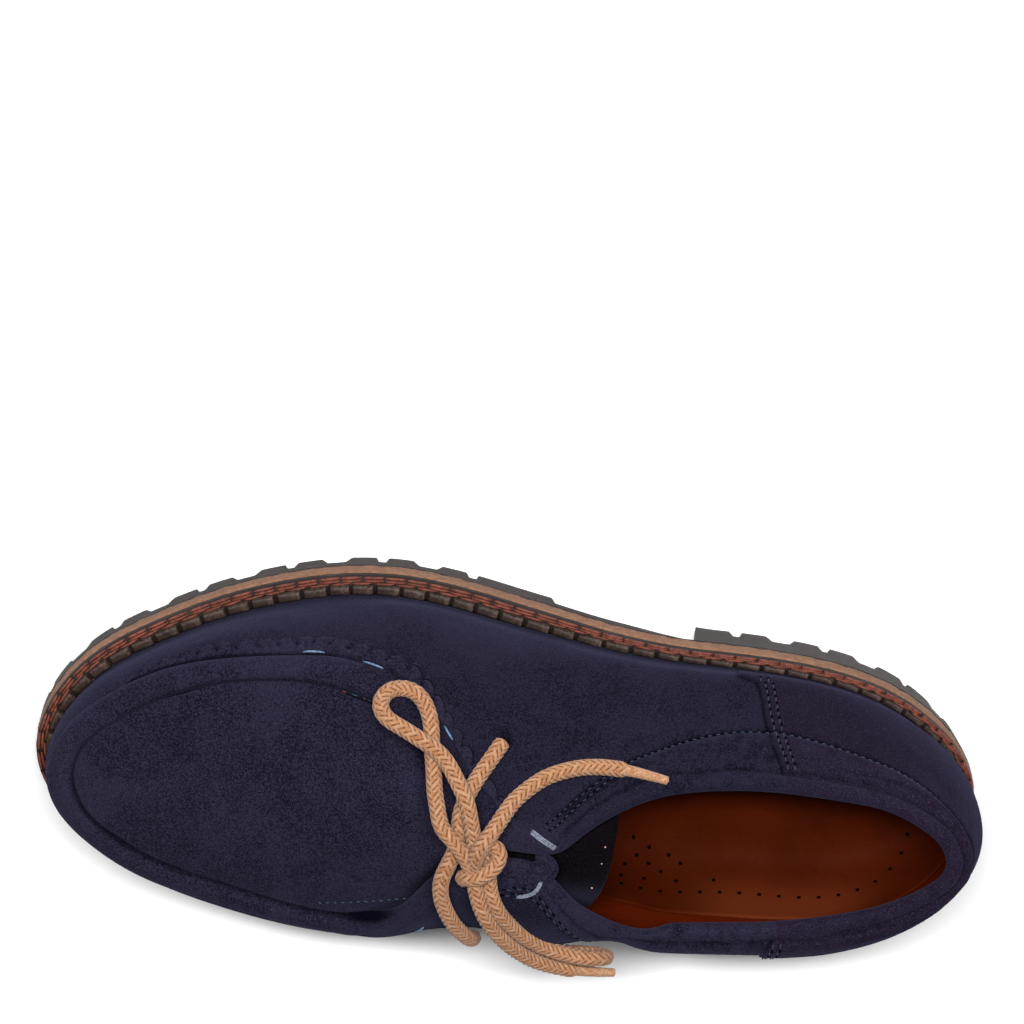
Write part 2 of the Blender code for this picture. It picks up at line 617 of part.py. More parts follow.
def arch_grid(x, columns, drop=0.0):
    """Points across the apron or tongue at each x: a parabola each side of the ridge."""
    table = np.array(ARCHES, float)
    rows = cubic_through(table[:, 0], table[:, 1:], x)
    outer_y, outer_z, ridge_y, ridge_z, inner_y, inner_z = rows.T[:, :, None]
    v = np.sin(np.linspace(-1, 1, columns) * math.pi / 2 * 0.98)[None, :]
    v = v / abs(v).max()
    y = np.where(v < 0, ridge_y + v * (ridge_y - outer_y), ridge_y + v * (inner_y - ridge_y))
    fall = np.where(v < 0, ridge_z - outer_z, ridge_z - inner_z)
    z = ridge_z - fall * abs(v) ** 2.1
    points = np.stack([np.broadcast_to(x[:, None], y.shape), y, z], axis=2)
    if drop:
        across = np.gradient(points, axis=1)
        across /= np.linalg.norm(across, axis=2)[..., None]
        down = np.stack([np.zeros_like(y), across[..., 2], -across[..., 1]], axis=2)
        points = points + down * drop
    return points


def apron_solid(name, start, end, thick, rows, columns, collection):
    t = np.linspace(0, 1, rows)
    x = start + (end - start) * np.sin(t * math.pi / 2) ** 1.15 if end == APRON_FRONT else start + (end - start) * t
    return shell(name, arch_grid(x, columns), arch_grid(x, columns, thick), collection)


def make_tongue(collection):
    return apron_solid("tongue", ARCHES[0].x, TONGUE_FRONT - GAP, TONGUE_THICK, 7, 13, collection)


# ---------------------------------------------------------------- footbed

def make_insole(collection):
    """A cupped footbed whose edge follows the inside of the upper."""
    run = even_runs(STATIONS)
    plane, _, _, whole = wall_sections(run, np.zeros((len(run), 1)))
    x = plane[0][:, 0]
    cup = 1.0 + (FOOTBED_CUP - 1.0) * (1 - smooth_step(x, -20, 60))
    share = (FOOTBED + cup) / FOOT_BAND
    foot, above = inner_skin(run, np.stack([whole, whole - FOOT_BAND], axis=1)).transpose(1, 0, 2)
    edge = np.stack([foot, foot + (above - foot) * 0.2, foot + (above - foot) * share[:, None]], axis=1)
    edge[..., 0] += 0.6
    space = to_space(plane, edge)
    low, mid, high = space.transpose(1, 0, 2)

    def bottom(x, share):
        return upper_bottom(x) + BED_SEAT

    low[:, 2] += BED_SEAT
    centre = spine(high[:, :2])

    def top(share):
        at = centre + share * (high[:, :2] - centre)
        level = upper_bottom(at[:, 0]) + FOOTBED
        lip = high[:, 2] - (upper_bottom(high[:, 0]) + FOOTBED)
        return np.column_stack([at, level + lip * share**5])

    rings = plate_rings(low[:, :2], bottom, (0.35, 0.75))
    rings += [low, mid, high, top(0.86), top(0.7), top(0.35)]
    return skin("insole", rings, collection)


# ---------------------------------------------------------------- lace

def make_cord(name, points, collection):
    curve = bpy.data.curves.new(name, "CURVE")
    curve.dimensions = "3D"
    curve.bevel_depth = LACE / 2 * MM
    curve.bevel_resolution = 2
    curve.use_fill_caps = True
    line = curve.splines.new("POLY")
    line.points.add(len(points) - 1)
    for point, at in zip(line.points, points):
        point.co = (*[c * MM for c in at], 1)
    return link(bpy.data.objects.new(name, curve), collection)


def make_knot(collection):
    mesh = bpy.data.meshes.new("lace_knot")
    bm = bmesh.new()
    bmesh.ops.create_icosphere(bm, subdivisions=3, radius=1)
    scale = Matrix.Diagonal((*[size * MM for size in KNOT_SIZE], 1))
    bmesh.ops.transform(bm, matrix=Matrix.Translation([c * MM for c in KNOT_AT]) @ scale, verts=bm.verts)
    bm.to_mesh(mesh)
    bm.free()
    return link(bpy.data.objects.new("lace_knot", mesh), collection)


# ---------------------------------------------------------------- scene

def clear_scene():
    for obj in list(bpy.data.objects):
        bpy.data.objects.remove(obj)


def new_collection(name):
    made = bpy.data.collections.new(name)
    bpy.context.scene.collection.children.link(made)
    return made


def main():
    clear_scene()
    shoe = new_collection("lace_up_shoe")
    cutters = new_collection("cutters")
    made = {
        "outsole": make_outsole(shoe, cutters),
        "midsole": make_midsole(shoe),
        "welt": make_welt(shoe),
        "upper": make_upper(shoe, cutters),
        "tongue": make_tongue(shoe),
        "insole": make_insole(shoe),
        "lace_knot": make_knot(shoe),
    }
    for name, points in LACE_RUNS.items():
        made[name] = make_cord(name, points, shoe)
    looks = {
        "outsole": material("grey_rubber", (0.075, 0.07, 0.068), 0.8),
        "midsole": material("tan_midsole", (0.45, 0.25, 0.12), 0.5),
        "welt": material("brown_welt", (0.06, 0.035, 0.022), 0.6),
        "upper": material("navy_suede", (0.022, 0.022, 0.055), 0.95),
        "tongue": material("dark_suede", (0.02, 0.016, 0.025), 0.95),
        "insole": material("tan_footbed", (0.42, 0.14, 0.05), 0.6),
        "lace": material("tan_cord", (0.6, 0.36, 0.17), 0.85),
    }
    for obj in (*shoe.objects, *cutters.objects):
        obj.location = (-MIDDLE[0] * MM, -MIDDLE[1] * MM, 0)
    for name, obj in made.items():
        obj.data.materials.append(looks.get(name, looks["lace"]))


if __name__ == "__main__":
    main()
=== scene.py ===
"""A right-foot moccasin-toe lace-up shoe in suede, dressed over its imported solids.

The shoe stands on its sole with +X to the toe, +Y to the inner side and +Z up.  Sizes are in
millimetres unless a property says otherwise, and MM turns them into metres when a mesh is made.
"""

import math

import bpy
import numpy as np
from bpy.props import FloatProperty, FloatVectorProperty, IntProperty, PointerProperty
from mathutils import Matrix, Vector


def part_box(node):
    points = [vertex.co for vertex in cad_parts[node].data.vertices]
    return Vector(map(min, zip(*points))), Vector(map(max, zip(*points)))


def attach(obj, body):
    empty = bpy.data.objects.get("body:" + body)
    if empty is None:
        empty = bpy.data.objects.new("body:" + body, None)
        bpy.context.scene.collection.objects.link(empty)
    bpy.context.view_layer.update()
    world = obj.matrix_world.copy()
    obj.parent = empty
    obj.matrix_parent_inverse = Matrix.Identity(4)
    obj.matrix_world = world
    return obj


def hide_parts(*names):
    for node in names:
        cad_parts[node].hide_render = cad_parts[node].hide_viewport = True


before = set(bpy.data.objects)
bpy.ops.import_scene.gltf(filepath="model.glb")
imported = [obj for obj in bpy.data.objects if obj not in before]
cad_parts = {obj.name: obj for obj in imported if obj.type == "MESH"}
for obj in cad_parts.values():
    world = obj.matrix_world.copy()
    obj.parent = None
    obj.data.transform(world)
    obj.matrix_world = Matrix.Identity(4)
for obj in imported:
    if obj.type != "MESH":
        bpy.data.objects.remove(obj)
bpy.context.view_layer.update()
FLOOR_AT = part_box("outsole")[0][2]

bl_info = {
    "name": "Moccasin-toe shoe",
    "version": (1, 0, 0),
    "blender": (4, 5, 0),
    "location": "3D View > Sidebar > Shoe",
    "description": "Makes a laced suede shoe with a storm welt and a lugged sole",
    "category": "Add Mesh",
}

MM = 0.001
MIDDLE = np.array([1.475, -0.173, 0.0])    # centre of the sole's box in the tables' own axes
UP = np.array([0.0, 0.0, 1.0])

# ---------------------------------------------------------------- the last and the sole in figures

# Sections round the shoe, from the heel by the outer side to the toe and back by the inner side.  A
# section has x and y of the sole's edge, how far in from it the belly and the shoulder of the wall lie,
# and x, y and height of the wall's free edge.
SOLE_XY, BELLY_IN, SHOULDER_IN, TOP_XY, TOP_Z = slice(0, 2), 2, 3, slice(4, 6), 6
SECTIONS = [
    (-143.0, 4.5, 1.0, 4.2, -134.5, 5.0, 74.0),
    (-138.3, -9.0, 1.5, 5.5, -131.0, -4.0, 73.5),
    (-128.5, -20.0, 2.6, 8.0, -122.5, -10.5, 72.8),
    (-115.0, -28.8, 3.8, 11.0, -111.5, -15.0, 71.8),
    (-95.0, -35.3, 4.6, 15.5, -94.0, -17.5, 70.4),
    (-72.0, -38.4, 5.0, 17.6, -73.0, -18.5, 69.5),
    (-48.0, -39.8, 5.4, 19.0, -51.5, -17.0, 71.0),
    (-24.0, -41.8, 6.0, 23.0, -34.0, -12.5, 75.5),
    (-4.0, -46.0, 6.4, 28.0, -19.0, -2.5, 81.0),
    (12.0, -50.2, 6.4, 31.0, -9.0, 3.4, 84.0),
    (21.0, -52.2, 6.4, 31.0, 3.5, 3.6, 81.8),
    (29.0, -53.6, 6.4, 28.0, 15.8, 2.0, 79.0),
    (36.0, -54.4, 6.4, 22.0, 22.6, -10.5, 74.8),
    (43.0, -54.6, 6.6, 17.5, 31.0, -25.5, 67.6),
    (52.0, -54.2, 6.8, 13.8, 45.5, -32.0, 59.8),
    (70.0, -51.2, 6.2, 9.6, 66.0, -34.0, 54.6),
    (92.0, -44.8, 5.0, 6.6, 87.0, -31.4, 52.2),
    (112.0, -36.2, 4.6, 5.6, 105.0, -25.4, 51.0),
    (130.0, -25.6, 4.6, 5.6, 119.0, -17.0, 50.2),
    (141.5, -12.0, 4.6, 6.0, 128.5, -8.5, 49.8),
    (146.0, 4.5, 4.6, 6.2, 132.0, 3.0, 49.6),
    (141.8, 18.5, 4.6, 6.0, 128.0, 13.5, 49.8),
    (129.5, 31.5, 4.4, 5.6, 117.5, 22.4, 50.3),
    (110.0, 42.5, 4.0, 5.0, 102.0, 29.4, 51.0),
    (88.0, 49.2, 3.4, 4.4, 82.5, 34.4, 52.4),
    (66.0, 53.2, 2.6, 4.2, 62.5, 38.8, 54.8),
    (48.0, 54.2, 1.8, 4.2, 47.0, 39.4, 57.4),
    (37.0, 53.2, 1.6, 5.6, 34.5, 36.2, 63.6),
    (28.0, 51.4, 1.6, 9.0, 27.0, 26.0, 71.4),
    (19.0, 49.2, 1.6, 12.6, 18.0, 14.0, 77.8),
    (9.0, 46.8, 1.4, 12.6, 5.5, 9.4, 81.4),
    (-3.0, 44.4, 1.0, 9.0, -8.0, 9.6, 84.0),
    (-15.0, 42.6, 0.6, 2.6, -19.0, 23.5, 80.5),
    (-30.0, 41.2, 0.4, -1.6, -33.5, 33.5, 74.5),
    (-50.0, 41.4, 1.4, -0.6, -50.5, 34.4, 72.4),
    (-73.0, 43.0, 3.0, 1.6, -73.5, 33.2, 71.4),
    (-96.0, 42.6, 3.2, 3.4, -95.0, 29.6, 72.0),
    (-116.0, 37.6, 2.6, 4.6, -113.0, 24.2, 73.0),
    (-130.5, 28.4, 1.8, 4.8, -125.5, 17.4, 73.8),
    (-139.8, 16.6, 1.2, 4.4, -132.6, 11.4, 74.0),
]
TOE_ROW, ROW_COUNT = 20, len(SECTIONS)

ROLL_ROWS = (13.6, 26.6)
COLLAR_ROWS = (8.4, 31.6)                  # where the padded collar ends, on each side
COLLAR_SOFT = 24.0                         # length over which its padding fades
# Painted shade: over these rows the collar's outer side is darkened in colour.
COLLAR_SHADE_ROWS = (4.4, 9.5)             # where its outer side is a little darker
FLAP_ROWS = ((8.0, 13.8), (26.4, 32.0))

# Lines drawn on the wall.  A row is a place round the shoe counted in sections, and a depth is in
# millimetres down the wall from its free edge.  The first has row and width, the second row and depth.
ROLL_WIDTHS = [
    (12.9, 17.0), (13.7, 13.3), (14.1, 11.4), (14.5, 9.6), (15.1, 8.0), (15.9, 7.5), (16.7, 8.2),
    (18.0, 9.0), (20.0, 9.3), (22.0, 9.0), (23.6, 8.4), (25.2, 8.0), (26.6, 9.0)]
COLLAR_LINE = [
    (0.0, 6.2), (1.31, 6.8), (2.49, 10.2), (3.22, 12.1), (4.02, 15.8), (4.53, 17.6), (5.12, 17.7),
    (5.69, 15.3), (6.10, 13.2), (6.58, 11.2), (6.97, 10.0), (7.43, 8.4), (7.89, 7.8), (8.64, 8.4)]
COLLAR_SEAM_END = 8.64                     # row where the seam under the collar stops
COLLAR_ROWS_APART = 2.1                    # between its two lines of stitches, where it is double
# Depth down the wall and row of the heel counter's front edge.
COUNTER_DEPTHS = (0.0, 2.0, 11.0, 22.0, 34.0, 36.5, 39.6)
COUNTER_ROWS = (4.66, 4.68, 4.78, 4.88, 4.93, 4.97, 5.2)
EYELETS = [(8.89, 36.2), (30.1, 39.4)]
# Soft dents and swells of the suede: row, depth, reach along, reach down, slant, height.
SOFT_CREASES = [
    (3.5, 8.8, 11.0, 2.4, 0.30, -0.55), (3.9, 12.6, 9.0, 2.0, 0.25, 0.35),
    (4.35, 9.0, 6.0, 2.6, 0.1, 0.30), (2.3, 16.0, 14.0, 4.5, 0.10, -0.30),
    (6.5, 33.0, 24.0, 9.0, 0.10, -0.40), (7.6, 22.0, 18.0, 7.0, -0.1, 0.35),
    (8.4, 46.0, 20.0, 9.0, 0.15, -0.40), (11.5, 62.0, 20.0, 8.0, 0.1, 0.30),
    (26.9, 12.0, 8.0, 3.2, -0.5, -0.5), (28.4, 33.0, 16.0, 7.0, 0.2, -0.4),
    (31.0, 30.0, 14.0, 7.0, -0.2, 0.3), (33.8, 28.0, 22.0, 7.0, 0.1, -0.3),
    (37.5, 22.0, 18.0, 5.0, 0.0, -0.3)]
# Scalloped strip of the outer side, from the toe end to the throat: row and depth of its inner line,
# then of its outer line.
OUTER_STRIP = [
    (17.5, 9.2, 17.4, 11.2), (16.6, 8.4, 16.6, 12.4), (15.7, 7.8, 15.7, 12.6), (15.0, 8.1, 15.03, 13.9),
    (14.44, 9.9, 14.12, 18.2), (13.73, 13.6, 13.4, 23.0), (13.21, 18.0, 12.6, 33.0),
    (12.5, 27.0, 11.98, 43.5), (11.8, 34.5, 11.35, 49.0), (11.2, 37.5, 10.80, 48.0),
    (10.63, 35.8, 10.45, 42.0), (10.45, 31.9, 10.16, 35.0), (10.28, 24.5, 9.95, 29.0),
    (10.05, 19.5, 9.76, 24.0), (9.80, 14.6, 9.60, 19.5), (9.64, 10.5, 9.47, 15.0),
    (9.55, 6.0, 9.35, 9.5)]
# Profile across the strip: place from its inner line to its outer one, height, painted shade and painted
# highlight.
STRIP_PROFILE = [
    (0.0, 0.15, 0.95, 0.0), (0.05, 0.9, 0.55, 0.0), (0.12, 1.3, 0.2, 0.0), (0.25, 1.5, 0.0, 0.0),
    (0.42, 1.5, 0.0, 0.0), (0.6, 1.4, 0.0, 0.1), (0.76, 1.5, 0.0, 0.3), (0.88, 1.75, 0.0, 0.75),
    (0.95, 1.65, 0.0, 0.9), (0.985, 1.15, 0.5, 0.3), (1.0, 0.25, 1.0, 0.0), (1.06, 0.06, 1.0, 0.0),
    (1.16, 0.03, 0.55, 0.0)]
STRIP_STEP, STRIP_SUNK, LOBE_DEEP = 0.42, -0.5, 2.4
# Hand stitches in pale thread: one place, the other, and how high they lie.
HAND_STITCHES = [
    ((14.84, 9.0), (14.46, 10.2), 1.9), ((13.80, 13.2), (13.16, 17.9), 0.9),
    ((10.66, 36.2), (10.47, 32.2), 0.7), ((10.20, 22.6), (10.10, 20.0), 0.7),
    ((9.72, 13.2), (9.66, 11.0), 0.7), ((28.27, 19.2), (28.53, 19.5), 0.9)]
# Threads that show in the seam between roll and apron: row of each end, and which thread it is.
SEAM_THREADS = [
    (14.28, 14.22, 1), (14.16, 14.08, 2), (14.02, 13.98, 1), (13.94, 13.86, 2), (13.74, 13.66, 2)]
APRON_SEAM = [(56.6, 31.3), (36.5, 30.6)]   # x and y of the ends of the stitched edge beside the gap
# The rolled nose of suede at the throat, and the fold within it.
THROAT_CURL = [
    (-7.4, 5.6, 82.6), (-10.6, 6.0, 83.4), (-12.6, 8.6, 83.4), (-11.6, 11.6, 83.2), (-8.2, 13.0, 83.4)]
THROAT_FOLD = [(-11.0, 9.6, 82.2), (-8.6, 9.2, 83.0), (-5.6, 9.4, 82.6)]

# Sections across the apron and the tongue: x, then y and height of the outer edge, of the ridge and of
# the inner edge.
ARCHES = [
    (-32.0, -9.0, 64.5, 10.0, 79.0, 29.0, 63.0),
    (-20.0, -13.0, 62.5, 10.0, 78.2, 30.0, 61.0),
    (-9.0, -19.0, 61.2, 9.0, 77.8, 32.5, 59.2),
    (3.0, -24.5, 60.2, 8.2, 76.6, 35.5, 57.4),
    (15.0, -28.0, 58.6, 8.0, 74.6, 37.5, 55.4),
    (27.0, -31.0, 57.6, 8.0, 72.4, 39.6, 54.6),
    (40.0, -35.0, 57.0, 7.5, 69.2, 42.5, 55.0),
    (55.0, -36.4, 55.4, 7.0, 65.2, 42.8, 54.0),
    (70.0, -36.6, 53.4, 6.2, 61.6, 40.4, 52.8),
    (85.0, -34.6, 51.6, 5.2, 58.4, 37.0, 51.4),
    (100.0, -30.2, 50.4, 4.4, 55.4, 32.8, 50.4),
    (112.0, -25.2, 49.8, 3.8, 53.2, 27.8, 49.8),
    (123.0, -17.8, 49.3, 3.4, 51.4, 21.4, 49.4),
    (131.0, -9.4, 49.0, 3.0, 50.0, 13.6, 49.1),
    (135.0, 1.0, 48.8, 3.0, 49.0, 5.0, 48.8),
]

# The sole: heights of the rubber, where it rises to the heel and to the toe, and what its edge carries.
TREAD_TOP, HEEL_RISE = 7.5, 9.5
RISE_FROM, RISE_TO = -5.0, -57.0
TOE_SPRING, SPRING_FROM, TOE_TIP = 11.0, 60.0, 146.0
BASE_RUBBER = 3.5
SPINE_HALF = 105.0                         # the middle line ends this far from the origin, both ways
HEEL_BREAST, FORE_LUGS_END, HEEL_TAPER = -54.0, -10.0, 2.0
LUG_PITCH, NOTCH_DEEP = 14.1, 4.0
FORE_ROWS, HEEL_ROWS = (9.35, 31.2), (5.2, 35.2)    # where the notches start and end
NOTCHES = ((2.4, 0.7), (5.6, 1.8))         # width and slant of the narrow notches and of the wide ones
FORE_BARS, HEEL_BARS = (4, 22, 40, 58, 76, 94, 111), (-78, -96, -113)
BAR_SLANT, BAR_HALF, BAR_DEEP = 8.0, (1.3, 2.0), 0.85
GROOVE = (13.9, 17.4)                      # where the groove round the tread lies, in from the edge
# Where the rubber's rings stand: down the edge, in under the tread, then in to the spine.
LUG_SHARES = (0.97, 0.75, 0.5, 0.25, 0.08)
TREAD_INSETS = (0.6, 1.6, 4.0, 7.0, 10.0, 12.6, 13.8, 14.5, 16.0, 17.0, 17.7)
MIDDLE_FROM, MIDDLE_SHARES = 18.0, (1.0, 0.86, 0.72, 0.58, 0.44, 0.3, 0.16, 0.04)
MIDSOLE, GAP, SEAT = 5.4, 0.3, 0.55
# Edge of the midsole from its foot up: how far in, and the share of its height.
BOARD_EDGE = ((0.5, 0.0), (0.12, 0.03), (0.0, 0.2), (0.05, 0.45), (0.0, 0.7), (0.15, 0.94), (0.5, 1.0))
WELT_FRONT, WELT_HEEL = 7.0, 4.6
WELT_FROM, WELT_TO = -60.0, 10.0
# Storm ridge of the welt: place across it and height.
RIDGE_PROFILE = (
    (0.02, 0.35), (0.07, 0.72), (0.16, 0.95), (0.35, 1.0), (0.58, 1.0), (0.80, 0.92), (0.93, 0.7))
# Rows of waxed strands on the welt: place across it, shift, width and length as shares, slant.
WELT_STRANDS = (
    (0.150, 0.0, 0.17, 0.96, 0.010), (0.300, 0.0, 0.17, 0.96, 0.010), (0.440, 0.5, 0.14, 0.92, 0.018))
# The upper: how its wall stands, its thicknesses, its roll and its footbed.
STAND_FROM, STAND_TO = 2.0, 12.0
BELLY_AT, SHOULDER_AT = 0.38, 0.84
TABLE_APART = 1000.0                       # more than any section's wall is long
# Where the wall's points stand: in the groove past its rim, about the collar's stitched line, and on the
# lining under its free edge.
GROOVE_SHARES = (0.12, 0.3, 0.62)
SEAM_DEPTHS = (-2.6, -2.0, -1.3, -0.7, -0.3, 0.1, 0.6, 1.2, 2.0)
LINING_DEPTHS = (0.0, 2.0, 4.0, 7.0, 10.0, 14.0, 18.0, 22.0)
LEATHER, COLLAR_THICK, COLLAR_PAD_FULL, COLLAR_PAD_DEEP = 2.4, 5.0, 4.0, 20.0
ROLL_HIGH = 3.0
PAST_COLLAR, COLLAR_RUNS_OUT = 14.1, (8.7, 10.4)    # depth of its line in front of it, and rows to get there
APRON_ENDS, APRON_THICK = (12.0, 135.0), 2.6
TONGUE_ENDS, TONGUE_THICK = (-32.0, 11.7), 3.0
FOOTBED, BED_SEAT, FOOT_BAND = 4.0, 0.25, 12.0
# The lace and the threads.
LACE, STRAND_STEP = 4.8, 0.36
BRAID_STRANDS = 6                          # columns of slanting strands round the lace
BRAID_SWAY, BRAID_LEAN = 0.24, 1.15        # of the line between two columns, and of a strand across one
TIP_BULGE = 0.2                            # how far a tube's end points stand out
# Place along a stitch and size of each of its rings.
CAPSULE = [(0.03, 0.5), (0.2, 0.92), (0.5, 1.0), (0.8, 0.92), (0.97, 0.5)]
FUSED_TIP = 13.5                           # length of the hard tip of each end of the lace
SEAM_THREAD, COUNTER_THREAD, THREAD_HIGH = 0.42, 0.53786, 0.5    # widths and height of machine stitches
THREAD_SHARE, HOLE_SHARE = 0.58, 0.80      # where on its pitch a thread ends and its hole lies
DOUBLE_FROM = 6.9                          # row where the second line of the collar's seam starts
COUNTER_SEAMS = (1.5, 3.9)                 # how far behind the counter's edge its two lines lie
COUNTER_SEAM_DEPTHS = (3.0, 37.0)
THREAD_LIFT = 2.75                         # height of the welt's threads over the midsole
# Height of the footbed's rim over its middle, by row.  Under the forefoot it fades to 1 mm.
BED_CUP = [
    (0.0, 11.0), (2.0, 9.0), (5.0, 7.0), (20.0, 6.0), (29.0, 8.0), (32.0, 18.5), (35.0, 20.5),
    (37.0, 20.0), (38.5, 15.5), (40.0, 11.0)]
# Dots on the footbed, by row round the shoe and distance inside its rim: one long line, then a cluster.
HOLE_LINE = [
    (33.1, 2.6), (34.0, 3.2), (35.0, 3.7), (36.0, 3.1), (36.8, 3.4), (37.4, 4.6), (37.75, 6.0),
    (38.1, 8.0), (38.5, 10.5), (38.9, 13.0)]
HOLE_CLUSTER = [
    (33.4, 4.2), (33.7, 4.8), (34.1, 5.3), (34.6, 5.9), (33.45, 6.6), (33.75, 8.2), (33.9, 6.9),
    (33.6, 9.4), (34.0, 11.2), (34.15, 9.3), (33.55, 14.0), (33.75, 12.4)]
HOLE_STEP, HOLE_HALF, HOLE_LIFT = 6.1, 0.62, 0.03
# Painted highlight: over these rows the footbed's rim is painted paler, where light falls on it.
PAINTED_LIGHT_ROWS = (34.45, 36.75)                 # where the footbed is paler near its inner rim
# Soft dents of the apron: x, y, reach along, reach across, slant, height.
APRON_CREASES = [
    (40.0, -20.0, 13.0, 3.4, 0.55, -0.6), (33.0, -8.0, 8.0, 3.6, 0.8, 0.5),
    (46.0, 24.0, 14.0, 3.4, -0.5, -0.5), (34.0, 24.0, 7.0, 3.5, -0.9, 0.4),
    (62.0, 4.0, 16.0, 9.0, 0.1, -0.4), (90.0, 12.0, 18.0, 8.0, -0.1, 0.4),
    (104.0, -8.0, 12.0, 6.0, 0.2, -0.3)]
# Dots sewn on the tongue, and the middle lines of the two bar tacks.
TONGUE_DOTS = [
    (-27.2, 8.6, 78.6), (-26.0, 13.6, 77.9), (-24.9, 17.6, 76.7), (-27.9, 3.6, 77.6)]
TACKS = [
    [(-5.5, -2.8, 83.3), (-9.4, -0.4, 84.3), (-13.1, 2.2, 83.85)],
    [(-2.4, 18.6, 83.6), (-6.0, 17.4, 84.4), (-8.4, 15.2, 84.75), (-9.4, 12.6, 84.35)]]

# The stage: lens and sensor, the point looked at, how far away, and the camera's turn and lift in degrees.
LENS, SENSOR, AIM, AWAY, CAMERA_TURN, CAMERA_LIFT = 160.95, 36.0, (2.965, -72.397, 2.67), 1.4, 3.5, 69.4
FAR_CLIP, FLOOR_HALF = 20.0, 4.0
LAMP_AT, LAMP_SIZE, LAMP_POWER, ROOM_LIGHT = (0.03, -0.76, 1.52), (1.1, 0.22), 68.0, 0.14

# Colours in linear light.  Most belong to a finish, but the footbed's pale one is a painted highlight and
# the holes' ones are painted shade.
PAINTED_LIGHT_BED, BOARD_SPECK, CORD_FUZZ = (0.062, 0.0116, 0.0034), (0.09, 0.045, 0.02), (0.42, 0.31, 0.22)
# Painted shade: the dark inside of holes in leather and in suede.
HOLE_SHADE_LEATHER, HOLE_SHADE_SUEDE = (0.0022, 0.0008, 0.0006), (0.0022, 0.0019, 0.0030)
ORANGE_THREAD, EDGE_THREAD, TONGUE_THREAD = (0.09, 0.02, 0.008), (0.011, 0.024, 0.044), (0.30, 0.16, 0.15)
PAPER_WHITES = (0.74, 0.74, 0.74), (0.77, 0.77, 0.77)

# Middle line of each run of lace: the bars and the knot that stay tied, then what is free, from the knot
# outward.
LACE_RUNS = {
    "lace_bars": [
        (3.9, -26.6, 71.8), (8.1, -21.1, 75.9), (12.4, -15.0, 79.7), (15.6, -6.5, 83.3),
        (15.9, 1.5, 83.6), (17.7, 8.0, 83.4), (20.0, 15.0, 82.8), (19.8, 21.0, 81.6),
        (17.6, 27.5, 79.4), (14.6, 33.5, 75.9), (11.5, 38.2, 71.6), (9.6, 41.0, 67.2),
        (8.9, 41.8, 63.6)],
    "lace_knot": [
        (12.4, 14.8, 82.8), (13.6, 12.8, 84.8), (12.8, 11.6, 87.2), (10.8, 11.0, 88.8), (8.4, 9.8, 89.6),
        (6.0, 7.9, 89.6), (4.2, 5.8, 88.8), (3.6, 3.2, 88.0), (5.0, 1.4, 87.2), (7.2, 1.8, 86.4),
        (8.8, 4.0, 85.4)],
    "lace_loop_outer": [
        (9.6, 9.4, 84.2), (9.9, 7.4, 84.8), (10.8, 2.3, 86.0), (11.6, -2.1, 86.6), (12.5, -6.3, 86.8),
        (14.0, -12.0, 86.4), (17.0, -17.5, 83.9), (22.4, -23.8, 79.0), (28.8, -27.8, 77.6),
        (34.4, -30.6, 76.2), (39.0, -32.7, 74.0), (40.9, -35.1, 70.4), (39.3, -37.6, 67.0),
        (35.1, -38.4, 65.0), (30.6, -37.1, 65.2), (27.3, -33.6, 67.4), (25.7, -29.2, 70.6),
        (25.1, -24.1, 73.8), (24.3, -18.8, 77.3), (23.6, -13.0, 80.4), (22.4, -8.2, 84.0),
        (20.8, -3.9, 86.6), (17.7, -0.5, 87.4), (14.5, 3.4, 87.6), (12.6, 6.8, 87.0), (11.4, 9.9, 85.8)],
    "lace_end_outer": [
        (11.4, 10.6, 86.0), (10.9, 8.0, 87.0), (10.4, 4.2, 88.9), (8.5, -1.0, 90.3), (5.6, -5.4, 89.2),
        (3.0, -9.0, 86.6), (0.2, -12.2, 83.6), (-3.8, -15.1, 80.6), (-8.6, -17.6, 77.6),
        (-14.4, -19.2, 75.2), (-20.8, -20.0, 73.4), (-28.1, -20.0, 72.9), (-36.8, -18.8, 72.9),
        (-45.4, -17.3, 74.0)],
    "lace_loop_inner": [
        (7.4, 2.8, 85.0), (6.8, 6.4, 84.9), (6.2, 11.8, 85.3), (5.6, 15.9, 85.4), (4.2, 20.2, 85.2),
        (2.0, 24.8, 83.4), (-0.9, 29.4, 80.2), (-4.4, 33.8, 77.0), (-8.5, 37.8, 73.6),
        (-12.5, 40.6, 71.4), (-17.0, 42.6, 70.2), (-24.3, 44.2, 69.5), (-29.2, 45.0, 67.6),
        (-31.3, 46.7, 62.9), (-29.2, 48.5, 58.3), (-24.3, 49.2, 56.4), (-17.4, 48.2, 58.2),
        (-12.8, 45.0, 62.0), (-8.4, 40.8, 66.6), (-4.7, 36.8, 70.6)],
    "lace_end_inner": [
        (11.4, 8.7, 84.8), (10.5, 13.0, 85.4), (9.8, 16.0, 85.4), (8.4, 20.8, 85.2), (6.0, 26.4, 83.8),
        (2.5, 32.6, 80.4), (-1.8, 38.3, 76.4), (-5.6, 42.5, 72.8), (-9.7, 45.8, 70.0),
        (-16.0, 48.9, 66.8), (-23.0, 50.9, 64.6), (-34.6, 52.8, 60.9)],
}


# ---------------------------------------------------------------- sizes and colours to change

def length_property(name, description, default):
    """A property for a size in metres."""
    return FloatProperty(name=name, description=description, default=default, unit="LENGTH")


def colour_property(name, description, default):
    """A property for a colour, in linear light."""
    return FloatVectorProperty(name=name, description=description, default=default, subtype="COLOR")


